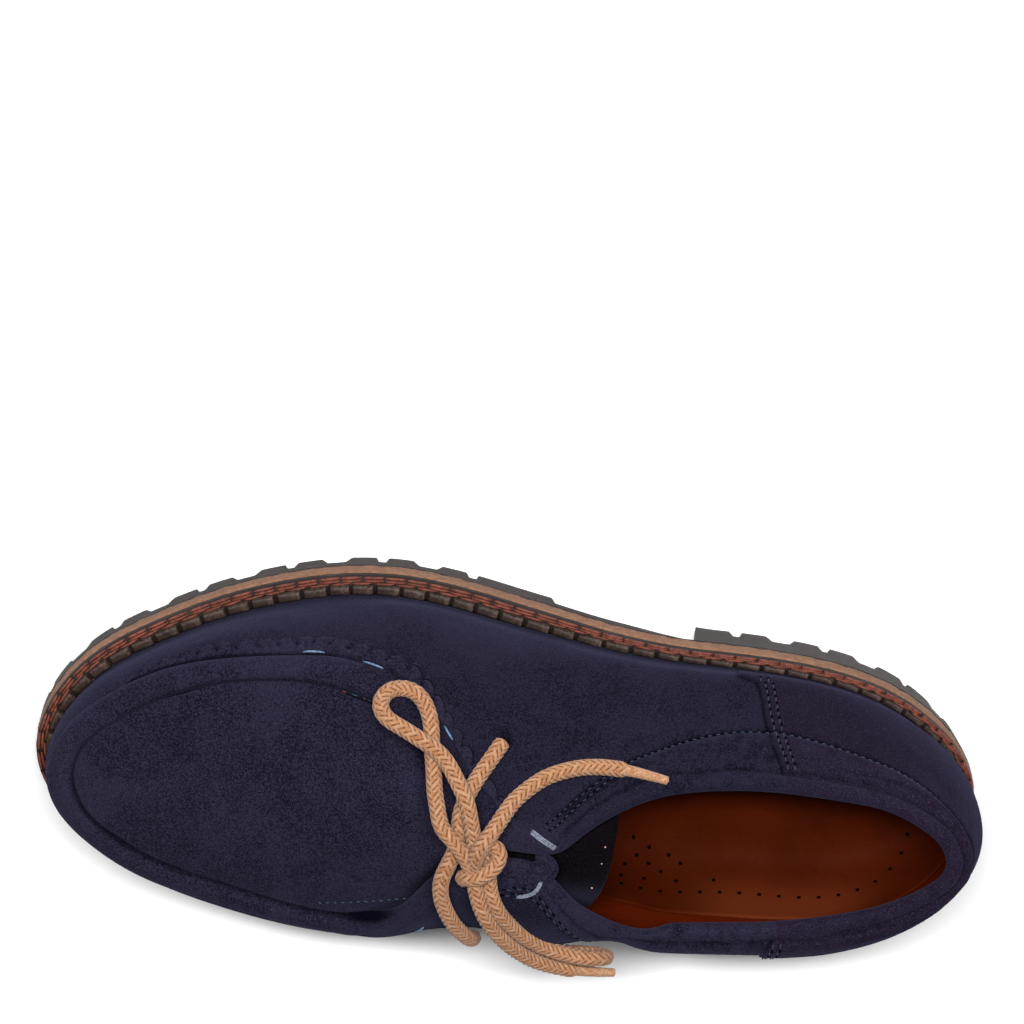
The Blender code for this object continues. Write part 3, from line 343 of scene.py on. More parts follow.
class ShoeSizes(bpy.types.PropertyGroup):
    """Sizes of the shoe's finer parts."""

    braid_pitch: length_property("Braid pitch", "Length of one crossing along the lace", 0.00198)
    braid_relief: length_property("Braid relief", "How far the lace's strands stand out", 0.00055)
    scallop: length_property("Scallop", "Width of one lobe of the strips' edge", 0.0060)
    welt_stitch: length_property("Welt stitch", "Pitch of the stitches along the welt", 0.0068)
    welt_lap: length_property("Welt lap", "Pitch of the segments of the storm ridge", 0.0080)
    seam_stitch: length_property("Seam stitch", "Pitch of the machine stitches on the upper", 0.0026)
    stations: IntProperty(name="Stations", description="Sections worked out round the upper", default=1000)


class ShoeColours(bpy.types.PropertyGroup):
    """Colours of the shoe's materials, in linear light."""

    suede: colour_property("Suede", "Body colour of the suede", (0.0046, 0.0041, 0.0090))
    nap: colour_property("Nap", "Suede where the nap catches light", (0.0116, 0.0105, 0.0206))
    lining: colour_property("Lining", "Leather inside the upper", (0.055, 0.0058, 0.0008))
    footbed: colour_property("Footbed", "Leather of the footbed", (0.033, 0.0042, 0.0007))
    rubber: colour_property("Rubber", "Outsole", (0.025, 0.0205, 0.0195))
    midsole: colour_property("Midsole", "Tan board between rubber and welt", (0.175, 0.085, 0.048))
    welt: colour_property("Welt", "Dark strip round the upper", (0.014, 0.007, 0.0055))
    # Painted highlight and real wear: the pale grey where light falls on the ridges, and rubbed patches.
    welt_wear_and_highlight: colour_property("Welt worn", "Rubbed places of the welt", (0.066, 0.045, 0.036))
    welt_thread: colour_property("Welt thread", "Waxed thread of the welt", (0.090, 0.020, 0.0100))
    lace: colour_property("Lace", "Braided cord", (0.232, 0.106, 0.047))
    hand_thread: colour_property("Hand thread", "Thread of the hand stitches", (0.070, 0.115, 0.185))
    tack_thread: colour_property("Tack thread", "Thread of the bar tacks", (0.105, 0.115, 0.150))
    seam_thread: colour_property("Seam thread", "Thread of the machine seams", (0.0085, 0.0150, 0.0330))


# ---------------------------------------------------------------- smooth curves

def cubic_through(knots, values, at, period=None):
    """A natural cubic spline through values at knots, or a closed one when a period is given."""
    knots = np.asarray(knots, float)
    values = np.asarray(values, float).reshape(len(knots), -1)
    if period is not None:
        knots = np.append(knots, knots[0] + period)
        values = np.vstack([values, values[:1]])
        at = knots[0] + np.mod(np.asarray(at, float) - knots[0], period)
    count = len(knots)
    step = np.diff(knots)
    slope = np.diff(values, axis=0) / step[:, None]
    system = np.zeros((count, count))
    right = np.zeros_like(values)
    for i in range(1, count - 1):
        system[i, i - 1 : i + 2] = step[i - 1], 2 * (step[i - 1] + step[i]), step[i]
        right[i] = 6 * (slope[i] - slope[i - 1])
    if period is None:
        system[0, 0] = system[-1, -1] = 1
    else:
        system[0, [0, -1]] = 1, -1
        system[-1, [0, 1, -2, -1]] = 2 * step[0], step[0], step[-1], 2 * step[-1]
        right[-1] = 6 * (slope[0] - slope[-1])
    bend = np.linalg.solve(system, right)
    at = np.asarray(at, float)
    i = np.clip(np.searchsorted(knots, at, side="right") - 1, 0, count - 2)
    h = step[i][:, None]
    a = (knots[i + 1] - at)[:, None] / h
    b = 1 - a
    curved = (a**3 - a) * bend[i] + (b**3 - b) * bend[i + 1]
    return a * values[i] + b * values[i + 1] + curved * h**2 / 6


def smooth_step(x, start, end):
    """0 before start, 1 after end, and 3t^2 - 2t^3 between."""
    t = np.clip((np.asarray(x, float) - start) / (end - start), 0, 1)
    return t * t * (3 - 2 * t)


def bell(x, middle, wide):
    """A hump of height 1 that falls as exp(-t^2)."""
    return np.exp(-(((x - middle) / wide) ** 2))


def dent(a, b, along, down):
    """A round hump of height 1 that falls as exp(-t^2) both ways."""
    return np.exp(-((a / along) ** 2) - (b / down) ** 2)


def travelled(points):
    """Distance along a line of points, from its first one."""
    return np.concatenate([[0], np.cumsum(np.linalg.norm(np.diff(points, axis=0), axis=1))])


def unit(vectors):
    """Each row at length 1."""
    return vectors / np.linalg.norm(vectors, axis=1)[:, None]


ROWS = np.array(SECTIONS, float)
EDGE_RUN = np.linalg.norm(np.roll(ROWS[:, SOLE_XY], -1, axis=0) - ROWS[:, SOLE_XY], axis=1)
KNOTS = np.concatenate([[0], np.cumsum(EDGE_RUN)[:-1]])
PERIMETER = EDGE_RUN.sum()


def row_run(row):
    """Distance along the sole's edge of a place given in rows."""
    return np.interp(row, np.arange(ROW_COUNT + 1), np.append(KNOTS, PERIMETER))


def row_at(run):
    """The place in rows of a distance along the sole's edge."""
    return np.interp(run, np.append(KNOTS, PERIMETER), np.arange(ROW_COUNT + 1))


def from_heel(row):
    """Rows from the heel, the same on both sides."""
    return np.minimum(row, ROW_COUNT - row)


def round_shoe(stations):
    """That many distances along the sole's edge, evenly spread."""
    return np.arange(stations) * PERIMETER / stations


def section_values(run):
    """The figures of a section at any distance along the edge, by a closed cubic spline."""
    return cubic_through(KNOTS, ROWS, run, PERIMETER)


def by_row(run, table):
    """A value given at places round the shoe, from (row, value) pairs, eased between them."""
    knots, values = np.array(table, float).T
    row = np.clip(row_at(run), knots[0], knots[-1])
    return cubic_through(knots, values, np.ravel(row))[:, 0].reshape(np.shape(row))


def between(run, rows, soft):
    """1 between two places round the shoe and 0 beyond them, with a soft step of that length."""
    first, last = row_run(rows[0]), row_run(rows[1])
    rise = smooth_step(run, first - soft / 2, first + soft / 2)
    return rise * (1 - smooth_step(run, last - soft / 2, last + soft / 2))


def wobble(x, seed, scale, amount):
    """A gentle unevenness: five sines of unlike wavelengths about the scale, phased by the seed."""
    total = np.zeros_like(np.asarray(x, float))
    for k, share in enumerate((1.0, 0.73, 0.51, 0.36, 0.23)):
        total = total + np.sin(2 * np.pi * x / (scale * share) + 2.4 * seed + 1.7 * k * seed) * share
    return amount * total / 2.0


# ---------------------------------------------------------------- levels of the sole

def spring(x):
    """How far the toe has lifted at x: a parabola from the ball to the tip."""
    return TOE_SPRING * np.clip((x - SPRING_FROM) / (TOE_TIP - SPRING_FROM), 0, None) ** 2


def rubber_top(x):
    """Height of the rubber: the tread, the toe's spring, and an eased rise to the heel."""
    return TREAD_TOP + spring(x) + HEEL_RISE * smooth_step(-x, -RISE_FROM, -RISE_TO)


def midsole_bottom(x):
    """The board lies a gap over the rubber."""
    return rubber_top(x) + GAP


def midsole_top(x):
    """The board has one thickness all over."""
    return midsole_bottom(x) + MIDSOLE


def upper_bottom(x):
    """The upper is seated a little over the board."""
    return midsole_top(x) + SEAT


def welt_wide(x):
    """Width of the welt, eased from the heel's to the forefoot's."""
    return WELT_HEEL + (WELT_FRONT - WELT_HEEL) * smooth_step(x, WELT_FROM, WELT_TO)


def edge_ring(run, inset):
    """Points that far inside the sole's edge, square to it."""
    at = section_values(run)[:, SOLE_XY]
    ahead = unit(section_values(run + 0.5)[:, SOLE_XY] - section_values(run - 0.5)[:, SOLE_XY])
    inward = np.stack([-ahead[:, 1], ahead[:, 0]], axis=1)
    return at + inward * np.reshape(inset, (-1, 1))


def spine(xy):
    """For each edge point, the point of the foot's middle line that it closes to."""
    x = np.clip(xy[:, 0], -SPINE_HALF, SPINE_HALF)
    run = np.linspace(0, PERIMETER, 400, endpoint=False)
    edge = section_values(run)
    split = row_run(TOE_ROW)
    outer = edge[run <= split]
    inner = edge[run > split][::-1]
    middle = (np.interp(x, outer[:, 0], outer[:, 1]) + np.interp(x, inner[:, 0], inner[:, 1])) / 2
    return np.stack([x, middle], axis=1)


def drawn_in(xy, share):
    """Points at that share of the way out from the spine to a ring."""
    middle = spine(xy)
    return middle + share * (xy - middle)


def at_height(xy, level):
    """Points in space at that height, or at a level that depends on x."""
    return np.column_stack([xy, level(xy[:, 0]) if callable(level) else level])


# ---------------------------------------------------------------- meshes

def grid_faces(rows, columns, closed_rows=False, closed_columns=False):
    """Corner numbers of the quads between the points of a grid, numbered row by row."""
    i = np.arange(rows if closed_rows else rows - 1)[:, None]
    j = np.arange(columns if closed_columns else columns - 1)[None, :]
    right = (j + 1) % columns
    below = (i + 1) % rows
    corners = (i * columns + j, i * columns + right, below * columns + right, below * columns + j)
    return np.stack(corners, axis=-1).reshape(-1, 4)


def ladder_faces(first, count):
    """Quads that close a ring of points by rungs from each point to its opposite number."""
    half = count // 2
    i = np.arange(1, half - 1)
    quads = np.stack([i, i + 1, count - i - 1, count - i], axis=1)
    ends = np.array([[0, 1, count - 1, count - 1], [half - 1, half, half + 1, half + 1]])
    return first + np.concatenate([quads, ends])


def tube_faces(rings, around):
    """Quads between rings of points, then fans to one point before the first ring and one past the last."""
    i = np.arange(around)
    after = (i + 1) % around
    tail, tip = (rings - 1) * around, np.full(around, rings * around)
    start = np.stack([tip, tip, after, i], axis=1)
    end = np.stack([tail + i, tail + after, tip + 1, tip + 1], axis=1)
    return np.concatenate([grid_faces(rings, around, closed_columns=True), start, end])


def loaf_faces(rings, around):
    """Quads between rings of points, with the first and the last ring closed by ladders."""
    return np.concatenate([
        grid_faces(rings, around, closed_columns=True), ladder_faces(0, around)[:, ::-1],
        ladder_faces((rings - 1) * around, around)])


class Body:
    """Gathers closed patches of points and faces into one mesh."""

    def __init__(self):
        self.points, self.faces, self.looks, self.marks, self.uvs = [], [], [], {}, []
        self.count = 0

    def patch(self, points, faces, look=0, uv=None, **marks):
        """Adds points (n, 3) and quads (m, 4), turned so that the patch encloses a positive volume."""
        points = np.asarray(points, float).reshape(-1, 3)
        a, b, c, d = (points[faces[:, k]] for k in range(4))
        volume = np.einsum("ij,ij->", a, np.cross(b, c)) + np.einsum("ij,ij->", a, np.cross(c, d))
        uv = np.zeros((*faces.shape, 2)) if uv is None else uv
        if volume < 0:
            faces, uv = faces[:, ::-1], uv[:, ::-1]
        self.points.append(points)
        self.faces.append(faces + self.count)
        self.uvs.append(uv)
        self.looks.append(np.broadcast_to(look, len(faces)))
        for name in set(marks) | set(self.marks):
            past = self.marks.setdefault(name, [np.zeros(self.count)])
            past.append(np.broadcast_to(marks.get(name, 0.0), len(points)).astype(float))
        self.count += len(points)

    def build(self, name, looks, slot, nodes=()):
        """One object at the origin, smooth, with its marks as point attributes."""
        points = (np.concatenate(self.points) - MIDDLE) * MM
        faces = np.concatenate(self.faces)
        keep = np.ones(faces.shape, bool)
        keep[faces[:, 2] == faces[:, 3], 3] = False
        keep[faces[:, 0] == faces[:, 1], 0] = False
        sizes = keep.sum(axis=1)
        mesh = bpy.data.meshes.new(name)
        mesh.vertices.add(len(points))
        mesh.vertices.foreach_set("co", points.astype(np.float32).ravel())
        loops = faces[keep]
        mesh.loops.add(len(loops))
        mesh.loops.foreach_set("vertex_index", loops.astype(np.int32))
        mesh.polygons.add(len(sizes))
        mesh.polygons.foreach_set("loop_start", (np.cumsum(sizes) - sizes).astype(np.int32))
        mesh.polygons.foreach_set("material_index", np.concatenate(self.looks).astype(np.int32))
        layer = mesh.uv_layers.new(name="UVMap")
        layer.data.foreach_set("uv", np.concatenate(self.uvs)[keep].astype(np.float32).ravel())
        for mark, values in self.marks.items():
            attribute = mesh.attributes.new(mark, "FLOAT", "POINT")
            attribute.data.foreach_set("value", np.concatenate(values).astype(np.float32))
        mesh.update(calc_edges=True)
        mesh.validate()
        mesh.shade_smooth()
        for look in looks:
            mesh.materials.append(look)
        obj = bpy.data.objects.new(name, mesh)
        bpy.context.scene.collection.objects.link(obj)
        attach(obj, "root")
        if nodes:
            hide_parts(*nodes)
        return obj


def along_path(points, step):
    """A cubic spline through the points by chord length, sampled evenly at about that step."""
    points = np.asarray(points, float)
    chord = travelled(points)
    fine = cubic_through(chord, points, np.linspace(0, chord[-1], 40 * len(points)))
    run = travelled(fine)
    count = max(int(round(run[-1] / step)), 2) + 1
    want = np.linspace(0, run[-1], count)
    return np.stack([np.interp(want, run, fine[:, k]) for k in range(3)], axis=1), want


def carried_frames(path):
    """For each point of a path, its direction and two directions square to it that never twist."""
    ahead = unit(np.gradient(path, axis=0))
    side = np.cross(ahead[0], UP)
    sides = []
    for direction in ahead:
        side = side - direction * (side @ direction)
        side = side / np.linalg.norm(side)
        sides.append(side)
    sides = np.array(sides)
    return ahead, sides, np.cross(sides, ahead)


def tube(body, path, radius, around, swell=0.0, u=None, **marks):
    """A closed tube: rings about the path at radius(ring) + swell(ring, angle), with u along its UV map."""
    ahead, side, up = carried_frames(path)
    angle = np.arange(around) * 2 * np.pi / around
    out = side[:, None] * np.cos(angle)[None, :, None] + up[:, None] * np.sin(angle)[None, :, None]
    reach = np.reshape(radius, (-1, 1)) * np.ones(around) + swell
    rings = path[:, None] + out * reach[..., None]
    count = len(path)
    tips = [path[:1] - ahead[:1] * TIP_BULGE, path[-1:] + ahead[-1:] * TIP_BULGE]
    u = np.arange(count, dtype=float) if u is None else u
    row = np.repeat(np.arange(count - 1), around)
    column = np.tile(np.arange(around), count - 1)
    corners = ((0, 0), (0, 1), (1, 1), (1, 0))
    uv = np.stack([np.stack([u[row + on], (column + over) / around], 1) for on, over in corners], axis=1)
    caps = np.zeros((2 * around, 4, 2))
    caps[:around, :, 0] = u[0]
    caps[around:, :, 0] = u[-1]
    spread = {name: np.append(np.broadcast_to(v, reach.shape).ravel(), [0, 0]) for name, v in marks.items()}
    points = np.concatenate([rings.reshape(-1, 3), *tips])
    body.patch(points, tube_faces(count, around), uv=np.concatenate([uv, caps]), **spread)


def stitches(body, start, end, up, wide, high, bulge=0.0, look=0, sink=0.3):
    """Low capsules from each start to each end, wide across and high along up: rings of six points.

    The middle line rises by the bulge as a half sine, and the tips sink into what is under them.
    """
    start, end, up = (np.asarray(v, float).reshape(-1, 3) for v in (start, end, up))
    t, size = np.array(CAPSULE).T
    count, around = len(t), 6
    ahead = unit(end - start)
    side = unit(np.cross(ahead, up))
    over = np.cross(side, ahead)
    angle = np.arange(around) * np.pi / 3
    middle = start[:, None] + (end - start)[:, None] * t[None, :, None]
    middle = middle + over[:, None] * (bulge * np.sin(np.pi * t) - sink * (1 - size))[None, :, None]
    ring = (side[:, None, None] * (np.cos(angle) * wide / 2)[None, None, :, None]
            + over[:, None, None] * (np.sin(angle) * high / 2)[None, None, :, None])
    rings = middle[:, :, None] + ring * size[None, :, None, None]
    many, each = len(start), count * around + 2
    tips = np.stack([start - over * sink, end - over * sink], axis=1)
    points = np.concatenate([rings.reshape(many, count * around, 3), tips], axis=1)
    every = tube_faces(count, around)[None] + each * np.arange(many)[:, None, None]
    body.patch(points, every.reshape(-1, 4), look)


# ---------------------------------------------------------------- materials

class Value:
    """A shader socket that takes part in sums: each operator adds a Math node."""

    def __init__(self, look, socket):
        self.look, self.socket = look, socket

    def _math(self, operation, *values):
        return self.look.add("ShaderNodeMath", {"operation": operation}, dict(enumerate(values)))

    def __add__(self, other):
        return self._math("ADD", self, other)

    def __radd__(self, other):
        return self._math("ADD", other, self)

    def __sub__(self, other):
        return self._math("SUBTRACT", self, other)

    def __rsub__(self, other):
        return self._math("SUBTRACT", other, self)

    def __mul__(self, other):
        return self._math("MULTIPLY", self, other)

    def __rmul__(self, other):
        return self._math("MULTIPLY", other, self)

    def clamp(self):
        """The value kept between 0 and 1."""
        return self._math("MINIMUM", self._math("MAXIMUM", self, 0.0), 1.0)

    def step(self, start, end):
        """0 below start and 1 above end, eased between."""
        return self.look.add("ShaderNodeMapRange", {"interpolation_type": "SMOOTHSTEP"},
                             {"Value": self, "From Min": start, "From Max": end})


class Look:
    """A Principled material in the making."""

    def __init__(self, name, **fixed):
        self.material = bpy.data.materials.new(name)
        self.material.use_nodes = True
        self.tree = self.material.node_tree
        self.shader = self.tree.nodes["Principled BSDF"]
        for key, value in fixed.items():
            self.fill(self.named(key), value)

    def named(self, key):
        """The shader's socket of that name, written in small letters with underscores."""
        return next(s for s in self.shader.inputs if s.name.lower().replace(" ", "_") == key)

    def add(self, kind, settings=None, inputs=None, out=0):
        """Adds a node of that type, makes its settings, then fills its sockets with values or links."""
        node = self.tree.nodes.new(kind)
        for key, value in (settings or {}).items():
            setattr(node, key, value)
        for key, value in (inputs or {}).items():
            self.fill(self.socket_of(node, key), value)
        return Value(self, node.outputs[out])

    @staticmethod
    def socket_of(node, key):
        """The node's socket of that number, identifier or name."""
        if isinstance(key, int):
            return node.inputs[key]
        return next(s for kind in ("identifier", "name") for s in node.inputs if getattr(s, kind) == key)

    def fill(self, socket, value):
        """Links a value to the socket or sets it; a colour of three numbers gets its fourth."""
        if isinstance(value, Value):
            self.tree.links.new(value.socket, socket)
        elif hasattr(value, "__len__") and len(socket.default_value) == 4 and len(value) == 3:
            socket.default_value = (*value, 1.0)
        else:
            socket.default_value = value

    def place(self, stretch=(1, 1, 1)):
        """Object coordinates in metres, stretched."""
        at = self.add("ShaderNodeTexCoord", out="Object")
        return self.add("ShaderNodeMapping", {}, {"Vector": at, "Scale": stretch})

    def mark(self, name):
        """A mark that the mesh carries at its points."""
        return self.add("ShaderNodeAttribute", {"attribute_name": name}, out="Fac")

    def creased(self, base, share, dark):
        """Painted shade: the base darkened to that colour where the mesh's crease mark is high."""
        return self.mix((self.mark("crease") * share).clamp(), base, dark)

    def noise(self, at, per_metre, detail, roughness, distortion=0.0):
        """Smooth random clouds, so many to the metre."""
        return self.add("ShaderNodeTexNoise", {}, {
            "Vector": at, "Scale": per_metre, "Detail": detail, "Roughness": roughness,
            "Distortion": distortion})

    def cells(self, at, per_metre):
        """Distance to the nearest of random points, so many to the metre."""
        return self.add("ShaderNodeTexVoronoi", {"feature": "F1"}, {"Vector": at, "Scale": per_metre})

    def mix(self, share, one, other):
        """One colour where the share is 0 and the other where it is 1."""
        return self.add("ShaderNodeMix", {"data_type": "RGBA", "clamp_factor": True}, {
            "Factor_Float": share, "A_Color": one, "B_Color": other}, out=2)

    def bump(self, height, distance, strength, over=None):
        """A normal that follows the height, over another bump if one is given."""
        inputs = {"Height": height, "Distance": distance, "Strength": strength}
        if over is not None:
            inputs["Normal"] = over
        return self.add("ShaderNodeBump", {}, inputs)

    def finish(self, **varied):
        """Links what varies over the surface to the shader's sockets."""
        for key, value in varied.items():
            self.fill(self.named(key), value)
        return self.material


def shade(colour, factor):
    """A colour made lighter or darker, by one factor or by one for each channel."""
    return tuple(c * f for c, f in zip(colour, np.broadcast_to(factor, 3).tolist()))


def suede_look(name, body, nap):
    """Napped leather: soft clouds of brushed nap, short fibres, paler ridges in painted highlight, and
    painted shade in creases and low on the wall.
    """
    look = Look(name, roughness=1.0, specular_ior_level=0.0, sheen_weight=0.05, sheen_roughness=0.5,
                sheen_tint=(0.5, 0.5, 0.9, 1.0))
    at = look.place()
    clouds = look.noise(at, 26, 3.0, 0.55, 0.5).step(0.37, 0.64)
    brushed = look.noise(at, 95, 2.0, 0.5, 0.3).step(0.34, 0.70)
    grain = look.noise(at, 1500, 2.0, 0.8)
    fibre = look.noise(at, 2600, 2.0, 0.6)
    patches = look.noise(at, 230, 3.0, 0.6, 0.4).step(0.28, 0.74) - 0.5
    # Painted highlight: the ridge mark lightens the nap on raised edges; painted shade: the crease mark
    # darkens it in creases.
    light = (clouds * 0.50 + brushed * 0.28 + grain.step(0.40, 0.62) * 0.95 + look.mark("ridge") * 0.45
             - 0.13 + patches * (look.mark("pad") * 0.80 + 0.30) - look.mark("crease") * 0.75)
    colour = look.mix(light.clamp(), shade(body, 0.75), nap)
    purple = look.mix(look.mark("counter") * 0.6, colour, shade(body, (1.9, 1.1, 1.2)))
    flecked = look.mix((fibre.step(0.54, 0.66) * 0.75).clamp(), purple, shade(nap, (2.3, 2.1, 2.0)))
    # Painted shade: the low mark darkens the wall below its rim and the collar's outer side.
    flecked = look.mix(look.mark("low") * 0.30, flecked, shade(body, 0.2))
    darkened = look.creased(flecked, 0.92, shade(body, 0.12))
    height = grain * 0.6 + fibre * 0.4
    soft = look.bump(brushed, 0.0003, 0.35)
    return look.finish(base_color=darkened, normal=look.bump(height, 0.00032, 0.9, soft))


def leather_look(name, colour, rough):
    """Smooth leather with fine grain and darker handling marks; a paler painted highlight where the mesh's
    pale mark asks for it, and painted shade where its crease mark does.
    """
    look = Look(name, specular_ior_level=0.007)
    at = look.place()
    cloud = look.noise(at, 28, 4.0, 0.6, 0.5).step(0.3, 0.75)
    grain = look.cells(at, 1500)
    fleck = look.noise(at, 700, 3.0, 0.7).step(0.5, 0.75)
    dark = shade(colour, 0.5)
    base = look.mix(cloud * 0.7, colour, dark)
    base = look.mix(fleck * 0.25, base, shade(dark, 0.7))
    base = look.mix(look.mark("pale"), base, PAINTED_LIGHT_BED)
    base = look.creased(base, 0.9, shade(dark, 0.25))
    return look.finish(base_color=base, roughness=(cloud * 0.15 + rough).clamp(),
                       normal=look.bump(grain, 0.00012, 0.5))


def rubber_look(colour):
    """Moulded rubber with fine scuffs along its edge, dusty high spots, and painted shade in its notches and
    grooves.
    """
    look = Look("outsole_rubber", specular_ior_level=0.14)
    at = look.place()
    scuff = look.noise(look.place((1, 1, 7)), 260, 4.0, 0.65).step(0.42, 0.72)
    cloud = look.noise(at, 45, 3.0, 0.5).step(0.3, 0.7)
    grit = look.noise(at, 1600, 2.0, 0.7)
    base = look.mix(scuff * 0.55 + cloud * 0.2, shade(colour, 0.7), shade(colour, 1.9))
    # Painted shade where the crease mark is high: the notches, the groove and the bars.
    base = look.creased(base, 0.8, shade(colour, 0.3))
    return look.finish(base_color=base, roughness=(scuff * 0.15 + 0.62).clamp(),
                       normal=look.bump(grit + scuff * 0.8, 0.0002, 0.7))


def board_look(colour):
    """Pressed fibre board: short flat fibres, dark specks and pale dust."""
    look = Look("midsole_board", specular_ior_level=0.2)
    at = look.place()
    fibres = look.noise(look.place((1, 1, 2.6)), 520, 4.0, 0.7, 0.8)
    specks = look.noise(at, 900, 3.0, 0.75).step(0.60, 0.72)
    cloud = look.noise(at, 60, 3.0, 0.55).step(0.3, 0.7)
    base = look.mix(fibres.step(0.34, 0.68), shade(colour, 0.55), shade(colour, 1.25))
    base = look.mix(cloud * 0.35, base, shade(colour, 0.7))
    base = look.mix(specks * 0.7, base, BOARD_SPECK)
    return look.finish(base_color=base, roughness=(fibres * 0.2 + 0.62).clamp(),
                       normal=look.bump(fibres, 0.0004, 0.8))


def welt_look(name, dark, light):
    """Waxed leather welt, browner and shinier in rubbed patches and under a painted highlight on its ridges,
    with painted shade where the crease mark is high.
    """
    look = Look(name, specular_ior_level=0.12)
    at = look.place()
    grain = look.noise(at, 900, 4.0, 0.7)
    highlight_and_wear = (look.mark("ridge") * 0.8 + look.noise(at, 90, 3.0, 0.6).step(0.45, 0.75) * 0.35).clamp()
    base = look.mix(highlight_and_wear * grain.step(0.3, 0.62), dark, light)
    base = look.creased(base, 0.9, shade(dark, 0.25))
    return look.finish(base_color=base, roughness=(0.62 - highlight_and_wear * 0.18).clamp(),
                       normal=look.bump(grain, 0.00035, 0.6))


def thread_look(name, colour, twist_per_metre=1500.0):
    """Twisted thread: fine plies, lighter and darker by turns."""
    look = Look(name, roughness=0.7, specular_ior_level=0.3)
    plies = look.noise(look.place(), twist_per_metre, 2.0, 0.6)
    base = look.mix(plies.step(0.35, 0.65), shade(colour, 0.6), shade(colour, 1.35))
    return look.finish(base_color=base, normal=look.bump(plies, 0.0002, 0.8))


def hole_shade_look(name, colour):
    """Painted shade: the dark inside of a hole, with no shine."""
    look = Look(name, roughness=1.0, specular_ior_level=0.0)
    tone = look.noise(look.place(), 900, 1.0, 0.5)
    return look.finish(base_color=look.mix(tone, shade(colour, 0.6), colour))


def cord_look(colour):
    """Braided cord: every other strand paler, painted shade in the brown between strands, fine fibres over
    all, a plainer tip.
    """
    look = Look("lace_cord", roughness=0.85, specular_ior_level=0.15, sheen_weight=0.1)
    at = look.place()
    fibres = look.noise(at, 2300, 3.0, 0.7)
    tone = look.noise(at, 420, 3.0, 0.6).step(0.35, 0.7)
    strand = (look.mark("strand") + look.mark("fused") * 0.35).clamp()
    pale = (look.mark("tone") * 0.75 + tone * 0.35).clamp()
    yarn = look.mix(pale, shade(colour, (0.88, 0.72, 0.52)), shade(colour, (1.22, 1.42, 1.75)))
    # Painted shade: dark brown where the strand mark is low, between the strands.
    base = look.mix(strand.step(0.16, 0.72), shade(colour, (0.20, 0.12, 0.09)), yarn)
    fuzz = (strand.step(0.55, 1.0) * fibres.step(0.46, 0.66) * 0.55).clamp()
    base = look.mix(fuzz, base, CORD_FUZZ)
    return look.finish(base_color=base, normal=look.bump(fibres, 0.0003, 0.8))


def floor_look():
    """Plain white paper."""
    look = Look("floor_paper", roughness=0.9, specular_ior_level=0.1)
    tooth = look.noise(look.place(), 400, 2.0, 0.5)
    return look.finish(base_color=look.mix(tooth, *PAPER_WHITES))


# ---------------------------------------------------------------- the upper's wall

def wall(run, from_top):
    """The wall before its raised parts: a cubic in each section's plane, from foot to free edge.

    It goes through the foot, the belly, the shoulder and the top.
    run is (n,) and from_top (n, k), distances down the wall from its free edge.  It returns the
    section's plane, the points and normals as (inward distance, height), and the curve's length.
    Distances along the curve are found by interpolation in a fine table, for all sections at once.
    """
    values = section_values(run)
    wide = welt_wide(values[:, 0])
    foot, top = edge_ring(run, wide), values[:, TOP_XY]
    inward = top - foot
    reach = np.linalg.norm(inward, axis=1)
    inward /= reach[:, None]
    low = upper_bottom(foot[:, 0])
    tall = values[:, TOP_Z] - low
    r = np.stack([0 * reach, values[:, BELLY_IN] - wide, values[:, SHOULDER_IN] - wide, reach], axis=1)
    z = np.stack([low, low + BELLY_AT * tall, low + SHOULDER_AT * tall, values[:, TOP_Z]], axis=1)
    chord = np.hypot(np.diff(r, axis=1), np.diff(z, axis=1))
    t = np.concatenate([np.zeros((len(run), 1)), np.cumsum(chord, axis=1)], axis=1)
    t /= t[:, -1:]
    factors = np.linalg.solve(t[:, :, None] ** np.arange(4), np.stack([r, z], axis=2))
    fine = np.linspace(0, 1, 161)
    curve = np.einsum("kp,spc->skc", fine[:, None] ** np.arange(4), factors)
    part = np.cumsum(np.linalg.norm(np.diff(curve, axis=1), axis=2), axis=1)
    length = np.concatenate([np.zeros((len(run), 1)), part], axis=1)
    whole = length[:, -1]
    apart = TABLE_APART * np.arange(len(run))[:, None]
    want = np.clip(whole[:, None] - from_top, 0, whole[:, None])
    u = np.interp((want + apart).ravel(), (length + apart).ravel(), np.tile(fine, len(run)))
    u = u.reshape(want.shape)
    at = np.einsum("skp,spc->skc", u[..., None] ** np.arange(4), factors)
    at[..., 0] *= smooth_step(at[..., 1] - low[:, None], STAND_FROM, STAND_TO)
    slope = np.einsum("skp,spc->skc", np.arange(1, 4) * u[..., None] ** np.arange(3), factors[:, 1:])
    slope /= np.linalg.norm(slope, axis=2)[..., None]
    normal = np.stack([-slope[..., 1], slope[..., 0]], axis=2)
    return (foot, inward), at, normal, whole


def to_space(plane, flat):
    """From (inward distance, height) in each section's plane to points in space."""
    foot, inward = plane
    xy = foot[:, None, :] + inward[:, None, :] * flat[..., :1]
    return np.concatenate([xy, flat[..., 1:]], axis=2)


def collar_line(run):
    """Depth of the collar's stitched line below the free edge, the same on both sides of the heel."""
    side = from_heel(row_at(run))
    knots, depths = np.array(COLLAR_LINE, float).T
    depth = cubic_through(knots, depths, np.clip(side, 0, knots[-1]).ravel())[:, 0].reshape(side.shape)
    return depth + (PAST_COLLAR - depth) * smooth_step(side, *COLLAR_RUNS_OUT)


def collar_share(run):
    """1 where the collar is padded and 0 in front of it."""
    return 1 - between(run, COLLAR_ROWS, COLLAR_SOFT)


def rim_wide(run):
    """Width of the roll round the apron, or of half the padded collar behind it."""
    roll = between(run, (ROLL_ROWS[0] - 0.8, ROLL_ROWS[1] + 0.2), 10)
    return roll * by_row(run, ROLL_WIDTHS) + (1 - roll) * 0.5 * collar_line(run)


def counter_edge(d):
    """Row of the counter's front edge on the outer side at distance d below the free edge."""
    return np.interp(d, COUNTER_DEPTHS, COUNTER_ROWS)


